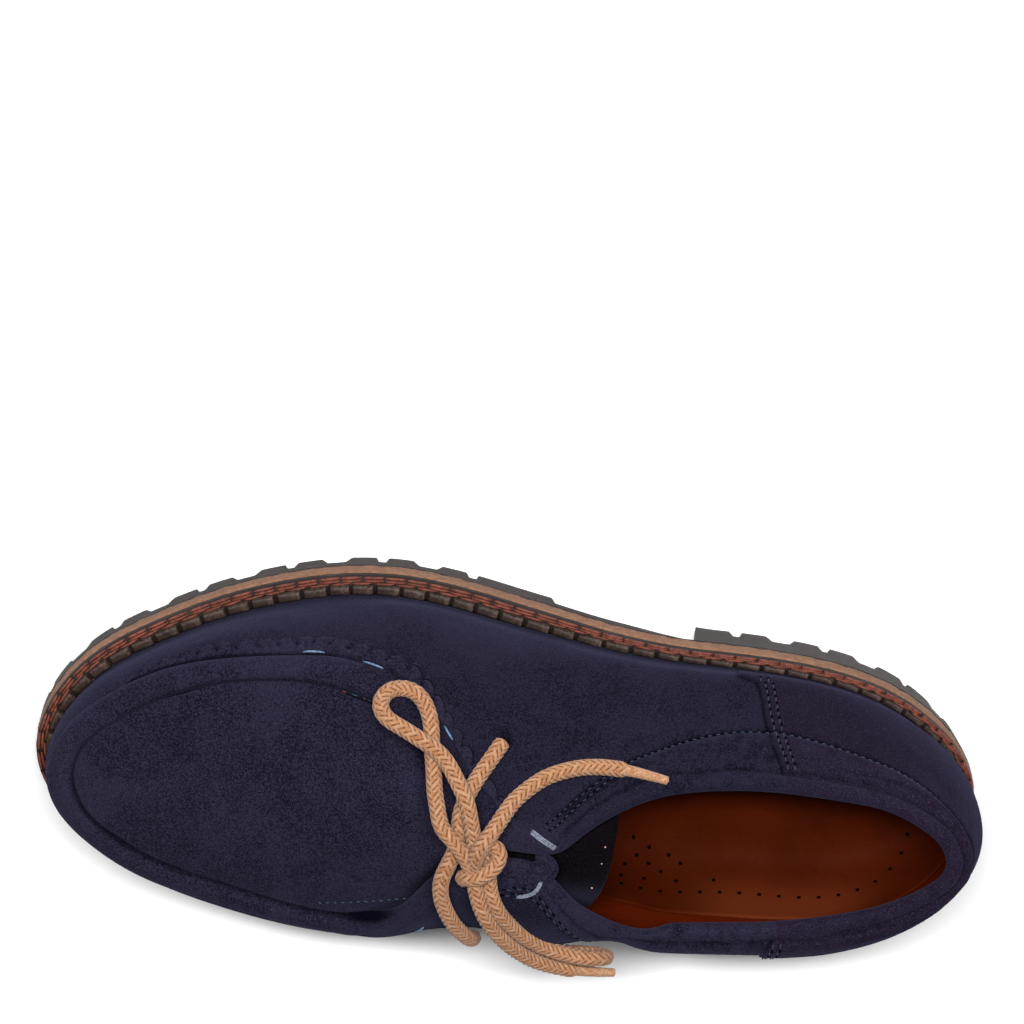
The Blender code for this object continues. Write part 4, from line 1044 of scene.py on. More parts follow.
def relief(run, d):
    """How far the wall's outer parts stand out, and where painted shade and painted highlight go, at
    distance d from its edge.

    The roll is nearly a half ellipse across its width, the collar a puff with a stitched valley under
    it, the counter a step, the eyelets round dents, and each crease a hump or dent set at a slant.
    """
    run = run[:, None]
    row = row_at(run)
    side = from_heel(row)
    roll = between(run, ROLL_ROWS, 14)
    collar = collar_share(run)
    flaps = between(run, FLAP_ROWS[0], 16) + between(run, FLAP_ROWS[1], 16)
    wide, line = rim_wide(run), collar_line(run)

    t = np.clip(d / wide, 0, 1)
    out = roll * ROLL_HIGH * np.sqrt(np.clip(1 - (2 * t - 1) ** 2, 0, 1)) ** 0.9
    out = out + 0.7 * flaps * smooth_step(d, -1, 3) * (1 - smooth_step(d, 8, 26))
    puff = np.sin(np.pi * np.clip((d - 1.2) / (line - 1.2), 0, 1)) ** 0.8
    second = bell(d, line - COLLAR_ROWS_APART, 0.7) * smooth_step(side, 6.6, 7.0)
    valley = collar * (bell(d, line, 0.8) + 0.7 * second)
    heel = 1 - smooth_step(side, 2.5, 5.0)
    wavy = wobble(run, 3.0, 31.0, 0.4)
    fold = collar * (bell(d, 2.4 + wavy, 0.6) * smooth_step(side, 1.5, 4.0) + heel * bell(d, 1.3, 0.5))
    fold = fold + heel * 0.9 * bell(d, 4.8 + wavy, 0.7)
    out = out + collar * (0.7 + 0.08 * np.minimum(line, 12)) * puff - 0.6 * valley - 0.35 * fold

    outer, edge = row < TOE_ROW, counter_edge(d)
    past = row_run(np.where(outer, edge, ROW_COUNT - edge)) - run
    past = np.where(outer, past, -past)
    counter = smooth_step(past, -0.4, 0.5)
    out = out + 0.9 * counter * smooth_step(d, 1.5, 5)
    holes = sum(np.exp(-((run - row_run(at)) ** 2 + (d - depth) ** 2) / 4.8) for at, depth in EYELETS)
    out = out - 1.7 * holes
    for crease_row, depth, along, down, slant, deep in SOFT_CREASES:
        a = run - row_run(crease_row)
        out = out + deep * dent(a, d - depth - slant * a, along, down)

    # Painted shade in the collar's valley and fold, the eyelets' dents, along the roll's edges and before
    # the counter's step.
    crease = 0.75 * np.minimum(valley, 1) + 0.4 * fold + 0.9 * np.minimum(holes, 1)
    crease = crease + 0.9 * bell(row, ROLL_ROWS[1], 0.6) * bell(d, 0.5, 1.3)
    inside = (0.9 - 0.3 * smooth_step(row, 21, 23)) * bell(d, 0.0, 0.75)
    outside = 0.8 * (1 - 0.75 * smooth_step(row, 16.0, 17.6)) * bell(d, wide + 0.15, 0.55)
    crease = crease + roll * (inside + outside)
    crease = crease + 0.85 * bell(past, -0.5, 0.45) * smooth_step(d, 1.0, 3.0)
    # Painted highlight on the roll's outer edge, the collar's rim, the counter's step and the flaps' edge.
    ridge = 0.55 * roll * bell(d, wide - 1.3, 0.9) + 0.5 * collar * bell(d, 0.3, 1.4)
    ridge = ridge + 0.55 * bell(past, 0.9, 0.9) + 0.25 * flaps * bell(d, 0.4, 1.3)
    # Painted shade: the wall is darkened a little below its rim.
    low = smooth_step(d, wide, wide + 9.0)
    return out, np.clip(crease, 0, 1), np.clip(ridge, 0, 1), counter, low


def thickness(run, d):
    """The leather's, more where the collar is padded and eased away down the wall."""
    pad = 1 - smooth_step(d, COLLAR_PAD_FULL, COLLAR_PAD_DEEP)
    return LEATHER + collar_share(run)[:, None] * (COLLAR_THICK - LEATHER) * pad


def inner_skin(run, d):
    """The inside of the wall, as (inward distance, height) in each section's plane."""
    _, base, normal, whole = wall(run, d)
    inner = base - normal * thickness(run, d)[..., None]
    foot = np.isclose(d, whole[:, None])
    inner[..., 1] = np.where(foot, base[..., 1], inner[..., 1])
    return inner


def on_wall(run, d, lift=0.0):
    """Points of the dressed wall and its outward directions, one for each pair of run and distance."""
    run, d, lift = np.broadcast_arrays(*(np.asarray(v, float) for v in (run, d, lift)))
    plane, base, normal, _ = wall(run, d[:, None])
    high = relief(run, d[:, None])[0]
    flat = base + normal * (high + lift[:, None])[..., None]
    foot, inward = plane
    outward = np.concatenate([inward * normal[:, 0, :1], normal[:, 0, 1:]], axis=1)
    return to_space(plane, flat)[:, 0], outward


def upper_wall(body, stations):
    """Outer skin, round free edge and lining as one closed sleeve of sections.

    Points down the outer skin stand closest where it bends: over the roll or the collar's rim, in the
    groove past it, and across the stitched line.
    """
    run = round_shoe(stations)
    whole = wall(run, np.zeros((stations, 1)))[3]
    rim, line = rim_wide(run)[:, None], collar_line(run)[:, None]
    top = rim * ((1 - np.cos(np.linspace(0, np.pi, 17))) / 2)[None]
    gap = line + SEAM_DEPTHS[0] - rim
    groove = rim + gap * np.array(GROOVE_SHARES)
    seam = line + np.array(SEAM_DEPTHS)
    low = np.linspace(0, 1, 35)[None, 1:] ** 1.03
    below = seam[:, -1:] + (whole[:, None] - seam[:, -1:]) * low
    d_out = np.concatenate([top, groove, seam, below], axis=1)
    plane, base, normal, _ = wall(run, d_out)
    high, crease, ridge, counter, shade_low = relief(run, d_out)
    plain = smooth_step(whole[:, None] - d_out, 4.5, 7.0)
    outer = base + normal * (high * plain)[..., None]
    # Painted shade along the wall's foot, where it meets the welt.
    crease = np.maximum(crease * plain, 0.9 * bell(whole[:, None] - d_out, 0.0, 3.0))
    free = np.array(LINING_DEPTHS)
    rest = free[-1] + (whole[:, None] - free[-1]) * np.linspace(0, 1, 13)[None, 1:]
    d_in = np.concatenate([np.broadcast_to(free, (stations, len(free))), rest], axis=1)
    inner = inner_skin(run, d_in)
    middle = (outer[:, 0] + inner[:, 0]) / 2
    half = (outer[:, 0] - inner[:, 0]) / 2
    reach = np.linalg.norm(half, axis=1)[:, None]
    ahead = np.stack([normal[:, 0, 1], -normal[:, 0, 0]], axis=1) * reach
    turn = np.linspace(0, np.pi, 9)[1:-1, None]
    nose = middle[:, None] + half[:, None] * np.cos(turn) + ahead[:, None] * np.sin(turn)
    flat = np.concatenate([outer[:, ::-1], nose, inner], axis=1)
    space = to_space(plane, flat)
    many = flat.shape[1]
    lining_from = outer.shape[1] + nose.shape[1] + 2
    faces = grid_faces(stations, many, closed_rows=True, closed_columns=True)
    look = np.where(np.tile(np.arange(many), stations) >= lining_from, 1, 0)

    def round_edge(mark):
        """A mark of the outer skin, carried on over the free edge; the lining has none."""
        out = np.zeros((stations, many))
        out[:, : outer.shape[1]] = mark[:, ::-1]
        out[:, outer.shape[1] : outer.shape[1] + nose.shape[1]] = mark[:, :1]
        return out.ravel()

    pad = collar_share(run)[:, None] * (1 - smooth_step(d_out, line, line + 3.0))
    # Painted shade: the collar's outer side is darkened over a few rows.
    shade_low = np.maximum(shade_low, pad * between(run, COLLAR_SHADE_ROWS, 40)[:, None])
    marks = {"crease": crease, "ridge": ridge, "counter": counter, "low": shade_low, "pad": pad}
    body.patch(space, faces, look, **{name: round_edge(mark) for name, mark in marks.items()})


def scalloped_strip(body, places, pitch):
    """A cut strip laid on the wall between two given lines, its outer edge in round lobes.

    The lobes are |sin|^0.6 of the distance along the outer line, the profile across is STRIP_PROFILE,
    and the strip's back is sunk a little into the wall.  Towards the throat it lies flatter.  Painted shade
    darkens its inner line, its outer edge and the notches between lobes, and a painted highlight its rims.
    """
    places = np.array(places, float)
    knots = np.arange(len(places))
    share = np.linspace(0, len(places) - 1, 900)
    at = cubic_through(knots, places, share)
    run = travelled(on_wall(row_run(at[:, 2]), at[:, 3])[0])
    along = np.linspace(0, run[-1], int(run[-1] / STRIP_STEP))
    at = cubic_through(knots, places, np.interp(along, run, share))
    lobes = np.abs(np.sin(np.pi * along / pitch)) ** 0.6
    inner_at = on_wall(row_run(at[:, 0]), at[:, 1])[0]
    outer_at = on_wall(row_run(at[:, 2]), at[:, 3])[0]
    width = np.linalg.norm(outer_at - inner_at, axis=1)
    reach = 1 - (1 - lobes) * np.clip(LOBE_DEEP / width, 0, 0.6)
    fade = smooth_step(along, 0, 5) * (1 - smooth_step(along, run[-1] - 5, run[-1]))
    late = smooth_step(along / run[-1], 0.38, 0.55)

    def across(v, lift):
        row, deep = (at[:, :2] + (at[:, 2:] - at[:, :2]) * (v * reach)[:, None]).T
        return on_wall(row_run(row), deep, lift)[0]

    top, marks, painted_highlights = [], [], []
    for v, high, dark, lobe_highlight in STRIP_PROFILE:
        top.append(across(v, high * fade * (1 - 0.45 * late * (v > 0.5))))
        # Painted shade along the lines and in the notches; painted highlight on the lobes' rims.
        marks.append(dark * (1 - (0.7 if v < 0.3 else 0.4) * late) + 0.9 * (v > 0.6) * (1 - lobes) ** 2)
        painted_highlights.append(lobe_highlight * (0.4 + 0.6 * lobes))
    bottom = [across(v, STRIP_SUNK) for v, *_ in STRIP_PROFILE]
    sheet(body, np.array(top), np.array(bottom), crease=np.clip(marks, 0, 1), ridge=np.array(painted_highlights))


def arch_at(x):
    """The figures of the arch at each x, by a cubic spline."""
    table = np.array(ARCHES, float)
    return cubic_through(table[:, 0], table[:, 1:], x)


def arch_grid(x, columns, drop=0.0):
    """Points across the apron or tongue at each x: nearly a parabola each side of the ridge.

    The columns crowd towards the edges as a sine, and a drop moves the points square to the arch.
    """
    outer_y, outer_z, ridge_y, ridge_z, inner_y, inner_z = arch_at(x).T[:, :, None]
    v = np.sin(np.linspace(-1, 1, columns) * math.pi / 2 * 0.98)[None, :]
    v = v / abs(v).max()
    y = np.where(v < 0, ridge_y + v * (ridge_y - outer_y), ridge_y + v * (inner_y - ridge_y))
    fall = np.where(v < 0, ridge_z - outer_z, ridge_z - inner_z)
    z = ridge_z - fall * abs(v) ** 2.1
    points = np.stack([np.broadcast_to(x[:, None], y.shape), y, z], axis=2)
    if drop:
        across = np.gradient(points, axis=1)
        across /= np.linalg.norm(across, axis=2)[..., None]
        points = points + np.stack([np.zeros_like(y), across[..., 2], -across[..., 1]], axis=2) * drop
    return points


def sheet(body, top, bottom, **marks):
    """A closed sheet between two grids of the same size, one over the other; its marks are on the top."""
    rows, columns = top.shape[:2]
    size = rows * columns
    grid = np.arange(size).reshape(rows, columns)
    rim = np.concatenate([grid[0, :-1], grid[:-1, -1], grid[-1, :0:-1], grid[:0:-1, 0]])
    after = np.roll(rim, -1)
    upper_faces = grid_faces(rows, columns)
    wall_faces = np.stack([after, rim, rim + size, after + size], axis=1)
    faces = np.concatenate([upper_faces, upper_faces[:, ::-1] + size, wall_faces])
    both = {name: np.concatenate([v.ravel(), v.ravel() * 0]) for name, v in marks.items()}
    body.patch(np.concatenate([top.reshape(-1, 3), bottom.reshape(-1, 3)]), faces, **both)


# ---------------------------------------------------------------- operators

class SHOE_OT_stage(bpy.types.Operator):
    """Makes the camera, the floor, the soft room light and the lamp"""

    bl_idname = "shoe.stage"
    bl_label = "Stage"

    def execute(self, context):
        scene = context.scene
        camera = bpy.data.cameras.new("view")
        camera.lens = LENS
        camera.sensor_width = SENSOR
        camera.clip_end = FAR_CLIP
        turn, lift = math.radians(CAMERA_TURN), math.radians(CAMERA_LIFT)
        level = np.array([math.sin(turn), -math.cos(turn)]) * math.cos(lift)
        back = np.array([*level, math.sin(lift)])
        right = np.array([-math.cos(turn), -math.sin(turn), 0.0])
        scene.camera = self.placed(scene, camera, right, back, np.array(AIM) * MM + AWAY * back)
        mesh = bpy.data.meshes.new("floor")
        signs = ((-1, -1), (1, -1), (1, 1), (-1, 1))
        mesh.from_pydata([(x * FLOOR_HALF, y * FLOOR_HALF, FLOOR_AT) for x, y in signs], [], [(0, 1, 2, 3)])
        mesh.materials.append(floor_look())
        floor = bpy.data.objects.new("floor", mesh)
        scene.collection.objects.link(floor)
        world = bpy.data.worlds.new("soft_room")
        world.use_nodes = True
        world.node_tree.nodes["Background"].inputs["Color"].default_value = (1.0, 1.0, 1.0, 1.0)
        world.node_tree.nodes["Background"].inputs["Strength"].default_value = ROOM_LIGHT
        scene.world = world
        scene.view_settings.view_transform = "Standard"
        lamp = bpy.data.lights.new("key", "AREA")
        lamp.shape = "RECTANGLE"
        lamp.size, lamp.size_y = LAMP_SIZE
        lamp.energy = LAMP_POWER
        back = np.array(LAMP_AT) / np.linalg.norm(LAMP_AT)
        side = np.cross(UP, back)
        self.placed(scene, lamp, side / np.linalg.norm(side), back, LAMP_AT)
        return {"FINISHED"}

    @staticmethod
    def placed(scene, data, right, back, at):
        """An object for the camera or the lamp that looks away from its back direction."""
        obj = bpy.data.objects.new(data.name, data)
        matrix = np.eye(4)
        matrix[:3] = np.stack([right, np.cross(back, right), back, at], axis=1)
        obj.matrix_world = Matrix(matrix.tolist())
        scene.collection.objects.link(obj)
        return obj


def braid(s, around, pitch):
    """Height 0 to 1 and tone 0 to 1 of a plaited cord.

    Strands lie in columns and lean one way and the other by turns; the line between two columns
    sways so that each strand's end tucks over its neighbour, and every other strand is paler.
    """
    turn = BRAID_STRANDS * np.arange(around)[None, :] / around
    at = s[:, None] / pitch
    odd_line = np.mod(np.round(turn), 2)
    sway = BRAID_SWAY * np.cos(2 * np.pi * (at + np.where(odd_line > 0.5, 0.075, -0.575)))
    column = np.floor(turn - sway)
    v = turn - column - 0.5
    odd = np.mod(column, 2)                # 1 where the column leans the other way
    along = at + (1 - 2 * odd) * BRAID_LEAN * v + 0.5 * odd
    strand = np.floor(along)
    across = along - strand - 0.5
    high = np.cos(np.pi * across) ** 0.7 * (0.35 + 0.65 * np.clip(1 - (v / 0.80) ** 2, 0, 1) ** 0.7)
    mixed = np.mod(np.sin(strand * 12.9 + column * 7.3) * 43.7, 1)
    return high, 0.55 * np.mod(strand + np.floor(column / 2), 2) + 0.45 * mixed


class SHOE_OT_lace(bpy.types.Operator):
    """Makes the tied lace: bars, knot, two loops and two ends"""

    bl_idname = "shoe.lace"
    bl_label = "Lace"

    def execute(self, context):
        sizes, colours = context.scene.shoe_sizes, context.scene.shoe_colours
        look = cord_look(colours.lace)
        for name, points in LACE_RUNS.items():
            is_end = "end" in name
            obj = self.strand(name, points, sizes, look, FUSED_TIP if is_end else 0.0)
            if name in ("lace_bars", "lace_knot"):
                continue                   # tied fast
            path, run = along_path(points, 1.0)
        return {"FINISHED"}

    @staticmethod
    def strand(name, points, sizes, look, tip):
        """A braided tube with round ends; a tip is that length of thinner, fused lace, cut blunt."""
        path, run = along_path(points, STRAND_STEP)
        around = 8 * BRAID_STRANDS
        pitch = sizes.braid_pitch / MM
        high, tone = braid(run, around, pitch)
        left = np.clip(run / 1.6, 0, 1)
        right = np.clip((run[-1] - run) / (0.5 if tip else 1.8), 0, 1)
        close = np.sqrt(np.clip(1 - (1 - left) ** 2, 0.01, 1) * np.clip(1 - (1 - right) ** 2, 0.01, 1))
        past = run - run[-1] + tip
        fused = smooth_step(past, -1.2, 1.2) if tip else np.zeros_like(run)
        taper = 1 - fused * (0.26 + 0.20 * np.clip(past / max(tip, 1), 0, 1))
        relief_high = sizes.braid_relief / MM
        swell = (high - 0.66) * relief_high * (close * (1 - 0.72 * fused))[:, None]
        body = Body()
        tube(body, path, (LACE / 2 - 0.06) * close * taper, around, swell, run / pitch, strand=high,
             fused=fused[:, None], tone=tone)
        return body.build(name, [look], "lace", [name])


class SHOE_OT_outsole(bpy.types.Operator):
    """Makes the lugged rubber outsole"""

    bl_idname = "shoe.outsole"
    bl_label = "Outsole"

    @staticmethod
    def notch_share(run):
        """1 inside the notches of the sole's edge and 0 on the lugs, with slanting sides between."""
        fore = np.arange(row_run(FORE_ROWS[0]), row_run(FORE_ROWS[1]), LUG_PITCH)
        heel = np.arange(row_run(HEEL_ROWS[0]), row_run(HEEL_ROWS[1]) - PERIMETER, -LUG_PITCH)
        share = np.zeros_like(run)
        for runs in (fore, heel):
            for i, at in enumerate(runs):
                wide, slant = NOTCHES[i % 2]
                away = np.abs(np.mod(run - at + PERIMETER / 2, PERIMETER) - PERIMETER / 2)
                share = np.maximum(share, 1 - np.clip((away - wide / 2) / slant, 0, 1))
        return share

    @staticmethod
    def bars(xy):
        """1 in the grooves across the middle of the forefoot, which slant, and of the heel."""
        x, y = xy.T
        share = np.zeros(len(xy))
        for slant, places in ((math.tan(math.radians(BAR_SLANT)), FORE_BARS), (0.0, HEEL_BARS)):
            for place in places:
                share = np.maximum(share, 1 - smooth_step(np.abs(x + slant * y - place), *BAR_HALF))
        return share

    @staticmethod
    def bottom(xy, hollow):
        """Height of the underside: the tread, its hollows, and a raised waist before the heel."""
        x = xy[:, 0]
        low = spring(x) + NOTCH_DEEP * hollow
        waist = smooth_step(x, HEEL_BREAST - 0.5, HEEL_BREAST + 0.5)
        waist = waist * (1 - smooth_step(x, FORE_LUGS_END - 0.5, FORE_LUGS_END + 0.5))
        return low + (np.maximum(rubber_top(x) - BASE_RUBBER, low) - low) * waist

    def execute(self, context):
        """Rings from the middle of the top, out to the edge, down it, and in under the tread."""
        run = round_shoe(1100)
        outline = edge_ring(run, 0.0)
        taper = HEEL_TAPER * smooth_step(-outline[:, 0], 30, 62)
        notch = self.notch_share(run)
        plain = np.zeros(len(run))
        rings, creases = [], []

        # A ring's crease is painted shade, in the notches, the groove and the bars.
        def ring(xy, level, crease):
            rings.append(at_height(xy, level))
            creases.append(crease)

        for xy in (drawn_in(outline, 0.04), drawn_in(outline, 0.5), outline):
            ring(xy, rubber_top, plain)
        edge_low = self.bottom(edge_ring(run, 0.4 + taper), notch)
        for share in LUG_SHARES:
            xy = edge_ring(run, taper * (1 - share) + (0.25 if share < 0.1 else 0.0))
            ring(xy, edge_low + (rubber_top(xy[:, 0]) - edge_low) * share, 0.35 * notch * (share < 0.3))
        for inset in TREAD_INSETS:
            xy = edge_ring(run, inset + taper)
            hollow = plain + 1 if GROOVE[0] < inset < GROOVE[1] else notch * (inset < GROOVE[0])
            ring(xy, self.bottom(xy, hollow), hollow * 0.8)
        start = edge_ring(run, MIDDLE_FROM + taper)
        for share in MIDDLE_SHARES:
            xy = drawn_in(start, share)
            hollow = self.bars(xy) * BAR_DEEP
            ring(xy, self.bottom(xy, hollow), hollow * 0.8)
        body = Body()
        body.patch(rings, loaf_faces(len(rings), len(run)), crease=np.array(creases).ravel())
        body.build("outsole", [rubber_look(context.scene.shoe_colours.rubber)], "outsole", ["outsole"])
        return {"FINISHED"}


class SHOE_OT_midsole(bpy.types.Operator):
    """Makes the tan board between the rubber and the welt"""

    bl_idname = "shoe.midsole"
    bl_label = "Midsole"

    def execute(self, context):
        """Rings from the middle of the underside, out to the rough edge, and in over the top."""
        run = round_shoe(900)
        rough = wobble(run, 1.3, 9.0, 0.12) + wobble(run, 2.1, 2.3, 0.05)
        rings = []
        for inset, share in BOARD_EDGE:
            xy = edge_ring(run, inset + rough * (0 < share < 1))
            low, high = midsole_bottom(xy[:, 0]), midsole_top(xy[:, 0])
            rings.append(at_height(xy, low + (high - low) * share))
        first, last = rings[0][:, :2], rings[-1][:, :2]
        rings = ([at_height(drawn_in(first, share), midsole_bottom) for share in (0.04, 0.5)] + rings
                 + [at_height(drawn_in(last, share), midsole_top) for share in (0.5, 0.04)])
        body = Body()
        body.patch(rings, loaf_faces(len(rings), len(run)))
        body.build("midsole", [board_look(context.scene.shoe_colours.midsole)], "midsole", ["midsole"])
        return {"FINISHED"}


class SHOE_OT_welt(bpy.types.Operator):
    """Makes the storm welt with its ridge, and the rows of waxed strands on it"""

    bl_idname = "shoe.welt"
    bl_label = "Welt"

    def execute(self, context):
        sizes, colours = context.scene.shoe_sizes, context.scene.shoe_colours
        self.strip(sizes, colours)
        self.threads(sizes, colours)
        return {"FINISHED"}

    @staticmethod
    def strip(sizes, colours):
        """A profile carried round the shoe; the ridge is a row of boxes, each lower towards its far end."""
        run = round_shoe(1900)
        laps = round(PERIMETER / (sizes.welt_lap / MM))
        phase = np.mod(run * laps / PERIMETER + wobble(run, 1.0, 47.0, 0.06), 1.0)
        lap = smooth_step(phase, 0.0, 0.07) * (1 - smooth_step(phase, 0.86, 0.97))
        tall = lap * (1 - 0.3 * phase)
        wide = welt_wide(edge_ring(run, 0.0)[:, 0]) - 2 * GAP
        ridge = 0.50 * wide
        rings, marks, painted_highlights = [], [], []

        def ring(inset, up, crease, highlight_and_wear=0.0):
            xy = edge_ring(run, inset)
            rings.append(at_height(xy, midsole_top(xy[:, 0]) + GAP + up))
            marks.append(np.broadcast_to(crease, run.shape))
            painted_highlights.append(np.broadcast_to(highlight_and_wear, run.shape))

        # Painted shade along the welt's outer edge and in the channel before the ridge; a faint painted
        # highlight on its flange.
        for inset, up, highlight_and_wear in ((0.3, 0.0, 0.0), (0.32, 1.3, 0.0), (0.45, 2.1, 0.1)):
            ring(inset, up, 0.6, highlight_and_wear)
        for inset, up, crease in ((0.09 * wide, 2.3, 0.8), (wide - ridge - 0.45, 2.1, 0.9),
                                  (wide - ridge - 0.12, 2.3, 1.0)):
            ring(inset, up, crease)
        # Painted shade in the gaps between boxes and towards each box's far end; painted highlight at its
        # near end and on the ridge's outer side.
        for t, high in RIDGE_PROFILE:
            ring(wide - ridge * (1 - t), 2.2 + (0.15 + 1.75 * tall) * high,
                 np.clip(1.15 - lap, 0, 1) + 0.25 * phase * lap,
                 lap * (0.30 + 0.75 * bell(phase, 0.16, 0.16) + 0.5 * (t < 0.2)))
        # Painted shade where the welt meets the upper.
        ring(wide - 0.02, 2.0, 1.0)
        ring(wide, 0.0, 1.0)
        faces = grid_faces(len(rings), len(run), closed_rows=True, closed_columns=True)
        crease, highlight_and_wear = (np.clip(values, 0, 1).ravel() for values in (marks, painted_highlights))
        body = Body()
        body.patch(rings, faces, crease=crease, ridge=highlight_and_wear)
        look = welt_look("welt_leather", colours.welt, colours.welt_wear_and_highlight)
        body.build("welt", [look], "welt", ["welt"])

    @staticmethod
    def threads(sizes, colours):
        """Pairs of waxed strands laid end to end outside the ridge, and a thinner row beside it."""
        body = Body()
        count = int(PERIMETER / (sizes.welt_stitch / MM))
        pitch = PERIMETER / count
        for share, offset, fat, long, slant in WELT_STRANDS:
            uneven = 0.10 * np.sin(2.4 * np.arange(count) + 9 * share)
            begin = (np.arange(count) + offset) * pitch + pitch * (1 - long) / 2 + uneven
            wide = welt_wide(edge_ring(begin, 0.0)[:, 0]) - 2 * GAP
            start = edge_ring(begin, wide * (share - slant))
            end = edge_ring(begin + pitch * long, wide * (share + slant))
            high = THREAD_LIFT if offset else THREAD_LIFT + 0.1
            start = at_height(start, midsole_top(start[:, 0]) + high)
            end = at_height(end, midsole_top(end[:, 0]) + high - 0.12)
            stitches(body, start, end, np.tile(UP, (count, 1)), fat * wide.mean(), 1.3, 0.1)
        body.build("welt_stitches", [thread_look("waxed_thread", colours.welt_thread, 700.0)], "welt")


class SHOE_OT_upper(bpy.types.Operator):
    """Makes the suede upper: the wall, the scalloped strip with the throat's nose, and the apron"""

    bl_idname = "shoe.upper"
    bl_label = "Upper"

    def execute(self, context):
        sizes, colours = context.scene.shoe_sizes, context.scene.shoe_colours
        suede = suede_look("navy_suede", colours.suede, colours.nap)
        lining = leather_look("lining_leather", colours.lining, 0.55)
        body = Body()
        upper_wall(body, sizes.stations)
        body.build("upper_wall", [suede, lining], "upper", ["upper"])
        body = Body()
        scalloped_strip(body, OUTER_STRIP, sizes.scallop / MM)
        for places, radius, power in ((THROAT_CURL, 1.7, 0.35), (THROAT_FOLD, 2.3, 0.5)):
            path, _ = along_path(places, 0.4)
            round_ended = np.sin(np.linspace(0.12, math.pi - 0.12, len(path))) ** power
            tube(body, path, radius * round_ended, 20)
        body.build("upper_strips", [suede], "upper")
        body = Body()
        t = np.linspace(0, 1, 200)
        back, front = APRON_ENDS
        x = back + (front - back) * np.sin(t * math.pi / 2) ** 1.15
        top = arch_grid(x, 150)
        dents = np.zeros(top.shape[:2])
        for at_x, at_y, along, across, slant, deep in APRON_CREASES:
            a = top[..., 0] - at_x
            dents += deep * dent(a, top[..., 1] - at_y - slant * a, along, across)
        top[..., 2] += dents
        # Painted shadow on the apron beside the flaps' free edges.
        sheet(body, top, arch_grid(x, 150, APRON_THICK), crease=painted_flap_shadow(top))
        body.build("upper_apron", [suede], "upper")
        return {"FINISHED"}


def painted_flap_shadow(top):
    """Painted shadow of the flaps on the apron: how dark it is close beside their free edges, a bell of the
    level distance to them.
    """
    rows = np.concatenate([np.linspace(9.0, 13.1, 40), np.linspace(26.7, 31.0, 40)])
    edge = on_wall(row_run(rows), 0.0)[0][:, :2]
    away = np.min(np.linalg.norm(top[..., None, :2] - edge, axis=-1), axis=-1)
    return 0.95 * np.exp(-(away / 2.6) ** 2)


class SHOE_OT_tongue(bpy.types.Operator):
    """Makes the tongue under the flaps, its back edge rounded at the inner corner"""

    bl_idname = "shoe.tongue"
    bl_label = "Tongue"

    def execute(self, context):
        colours = context.scene.shoe_colours
        # Painted shade: the tongue's suede is much darker and redder than the upper's, darkened for the
        # shade under the flaps and lace.
        suede = suede_look("tongue_suede", shade(colours.suede, (0.24, 0.18, 0.12)),
                           shade(colours.nap, (0.21, 0.16, 0.11)))
        body = Body()
        x = np.linspace(*TONGUE_ENDS, 60)
        reach = smooth_step(np.linspace(0, 1, 90), 0.70, 1.0)
        grids = []
        for drop in (0.0, TONGUE_THICK):
            grid = arch_grid(x, len(reach), drop)
            back = 6.6 * np.clip((grid[..., 1] + 8.0) / 37.0, 0, 1) ** 1.4
            grid[..., 0] += back * np.linspace(1, 0, len(x))[:, None]
            grid[..., 1] += 3.5 * reach
            grid[..., 2] -= 5.0 * reach
            grids.append(grid)
        sheet(body, *grids)
        body.build("tongue", [suede], "tongue", ["tongue"])
        return {"FINISHED"}


def bed_surface(run):
    """The footbed's low, middle and high edge rings, their spine, and its top at a part of the way out.

    The top is level near the spine and rises to the rim as the sixth power of the part.
    """
    plane, _, _, whole = wall(run, np.zeros((len(run), 1)))
    x = plane[0][:, 0]
    cup = by_row(run, BED_CUP) * (1 - smooth_step(x, -20, 60)) + smooth_step(x, -20, 60)
    foot, above = inner_skin(run, np.stack([whole, whole - FOOT_BAND], axis=1)).transpose(1, 0, 2)
    high_flat = inner_skin(run, (whole - FOOTBED - cup)[:, None])[:, 0]
    edge = np.stack([foot, foot + (above - foot) * 0.2, high_flat], axis=1)
    edge[..., 0] += 0.6
    low, mid, high = to_space(plane, edge).transpose(1, 0, 2)
    low[:, 2] += BED_SEAT
    centre = spine(high[:, :2])

    def top(part):
        at = centre + np.reshape(part, (-1, 1)) * (high[:, :2] - centre)
        level = upper_bottom(at[:, 0]) + FOOTBED
        lip = high[:, 2] - (upper_bottom(high[:, 0]) + FOOTBED)
        return np.column_stack([at, level + lip * np.ravel(part) ** 6])

    return low, mid, high, centre, top


